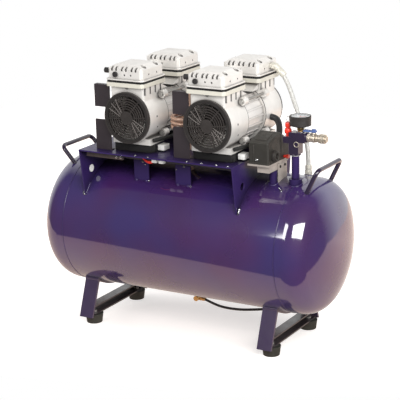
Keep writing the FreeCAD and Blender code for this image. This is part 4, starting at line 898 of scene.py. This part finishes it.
def weld_spots(bm):
    """Bright spatter at the deck tabs, the left saddle's corner and the pipe and handle feet."""
    spots = [(-73, -84.6, 354), (34, -85, 352.4), (-82, -83.6, 390), (-2, -83.6, 387),
             (-219.8, -119.4, 321.6), (-220.6, -123.4, 316), (-221.5, -121.5, 318.6), (238, -61.2, 366.6),
             (247, -68.4, 363.2), (243, -65, 365)]
    drop = [(0.9, -1.2), (1.7, -0.6), (1.9, 0.2), (1.4, 1.1), (0.5, 1.6)]
    for spot in spots:
        lathe(bm, drop, spot, (0.1, -0.75, 0.65), 14)


dressed("weld_spots", chrome, weld_spots)
dressed("base_shade_strips", gasket_black, base_shade_strips)
dressed("guard_groove_shade", gasket_black, guard_groove_shade)
dressed("guard_vanes", rib_highlight_plastic, guard_vanes)
dressed("drum_hole_shade", gasket_black, drum_hole_shade)
dressed("drum_hole_rims", cast_silver, drum_hole_rims)
dressed("neck_screws", dull_steel, neck_screws)
dressed("case_joints", gasket_black, case_joints)


# Light and floor

DIM_ROOM = 0.09
BACKDROP = 1.0
BACKDROP_WAY = (-0.36, 0.93, 0.05)
BACKDROP_EDGE = (0.18, 0.58)
FILL_LOW = 1.0
FILL_HIGH = 0.30
FILL_SPAN = (-0.1, 0.9)
FLOOR_EDGE = ((-1.9, -0.30), (-0.80, -0.62), (-0.60, -0.56), (0.12, -0.36), (0.50, -0.20), (0.80, 0.02),
              (1.7, 0.9), (1.7, 2.2), (-1.9, 2.2))
FLOOR_WHITE = (0.74, 0.68, 0.64)
FLOOR_MIRRORED = (0.46, 0.34, 0.29)
GLOW_TINT = (1, 0.80, 0.66)
# To the camera the floor glows less near the object; in gloss it glows more towards the back
SHADOW_SHAPE = (0.62, 1, 1)
SHADOW_REACH = (0.12, 0.34)
SHADOW_GLOW = (0.45, 1.0)
DEPTH_WAY = (-0.37, 0.93, 0)
DEPTH_SPAN = (-0.38, 0.57)
DEPTH_GLOW = (0.03, 0.9)


def soft_box(name, at, towards, size, power, roll=0, mirrored=True):
    light = bpy.data.objects.new(name, bpy.data.lights.new(name, "AREA"))
    light.data.shape = "RECTANGLE"
    light.data.size, light.data.size_y = size
    light.data.energy = power
    light.location = at
    light.rotation_mode = "QUATERNION"
    aim = (Vector(towards) - Vector(at)).to_track_quat("-Z", "Y")
    light.rotation_quaternion = aim @ Quaternion((0, 0, 1), math.radians(roll))
    light.visible_glossy = mirrored
    bpy.context.scene.collection.objects.link(light)


soft_box("window_right", (1.64, -1.24, 1.34), (0.31, -0.12, 0.30), (1.9, 0.80), 50, -17)
soft_box("window_left", (-0.33, -1.72, 1.40), (0.28, -0.13, 0.30), (0.50, 0.88), 9)
soft_box("left_box", (-2.3, -0.6, 1.5), (0, 0, 0.35), (1.2, 1.2), 15, mirrored=False)
soft_box("back_box", (0.3, 2.0, 2.4), (0, 0, 0.4), (2.0, 1.2), 6, mirrored=False)


def build_world():
    """White to the camera and through glass; to gloss, white behind the object and dim before it."""
    world = bpy.data.worlds.new("studio")
    bpy.context.scene.world = world
    world.use_nodes = True
    tree = world.node_tree
    sky = tree.nodes["Background"]
    sky.inputs["Color"].default_value = (1, 1, 1, 1)
    rays = tree.nodes.new("ShaderNodeLightPath")
    where = tree.nodes.new("ShaderNodeTexCoord")
    behind = dot_with(tree, where.outputs["Generated"], BACKDROP_WAY)
    seen = remap(tree, behind, *BACKDROP_EDGE, DIM_ROOM, BACKDROP)
    axes = tree.nodes.new("ShaderNodeSeparateXYZ")
    tree.links.new(where.outputs["Generated"], axes.inputs["Vector"])
    fill = remap(tree, axes.outputs["Z"], *FILL_SPAN, FILL_LOW, FILL_HIGH)
    diffuse_part = link_math(tree, "MULTIPLY", rays.outputs["Is Diffuse Ray"], fill)
    glossy_part = link_math(tree, "MULTIPLY", rays.outputs["Is Glossy Ray"], seen)
    direct_part = link_math(tree, "MAXIMUM", rays.outputs["Is Camera Ray"],
                            rays.outputs["Is Transmission Ray"])
    lit = link_math(tree, "MAXIMUM", diffuse_part, glossy_part)
    tree.links.new(link_math(tree, "MAXIMUM", lit, direct_part), sky.inputs["Strength"])


def build_floor():
    """A white sheet whose front edge the receiver mirrors; it fades into the white beyond it."""
    mesh = bpy.data.meshes.new("floor")
    mesh.from_pydata([(x, y, 0) for x, y in FLOOR_EDGE], [], [tuple(range(len(FLOOR_EDGE)))])
    floor = bpy.data.objects.new("floor", mesh)
    bpy.context.scene.collection.objects.link(floor)
    material = bpy.data.materials.new("floor_white")
    material.use_nodes = True
    tree = material.node_tree
    tree.nodes.remove(tree.nodes["Principled BSDF"])
    matt = tree.nodes.new("ShaderNodeBsdfDiffuse")
    lift = tree.nodes.new("ShaderNodeEmission")
    rays = tree.nodes.new("ShaderNodeLightPath")
    sheet = mixed(tree, rays.outputs["Is Glossy Ray"], FLOOR_WHITE, FLOOR_MIRRORED)
    tree.links.new(sheet, matt.inputs["Color"])
    warmth = mixed(tree, rays.outputs["Is Glossy Ray"], (1, 1, 1), GLOW_TINT)
    tree.links.new(warmth, lift.inputs["Color"])
    place = tree.nodes.new("ShaderNodeNewGeometry")
    near = tree.nodes.new("ShaderNodeVectorMath")
    near.operation = "MULTIPLY"
    near.inputs[1].default_value = SHADOW_SHAPE
    tree.links.new(place.outputs["Position"], near.inputs[0])
    far = tree.nodes.new("ShaderNodeVectorMath")
    far.operation = "LENGTH"
    tree.links.new(near.outputs["Vector"], far.inputs[0])
    glow = remap(tree, far.outputs["Value"], *SHADOW_REACH, *SHADOW_GLOW)
    camera_part = link_math(tree, "MULTIPLY", rays.outputs["Is Camera Ray"], glow)
    deep = dot_with(tree, place.outputs["Position"], DEPTH_WAY)
    mirrored = remap(tree, deep, *DEPTH_SPAN, *DEPTH_GLOW)
    glossy_part = link_math(tree, "MULTIPLY", rays.outputs["Is Glossy Ray"], mirrored)
    tree.links.new(link_math(tree, "MAXIMUM", camera_part, glossy_part), lift.inputs["Strength"])
    both = tree.nodes.new("ShaderNodeAddShader")
    tree.links.new(matt.outputs[0], both.inputs[0])
    tree.links.new(lift.outputs[0], both.inputs[1])
    tree.links.new(both.outputs[0], tree.nodes["Material Output"].inputs["Surface"])
    mesh.materials.append(material)


build_world()
build_floor()
bpy.context.scene.view_settings.view_transform = "Standard"
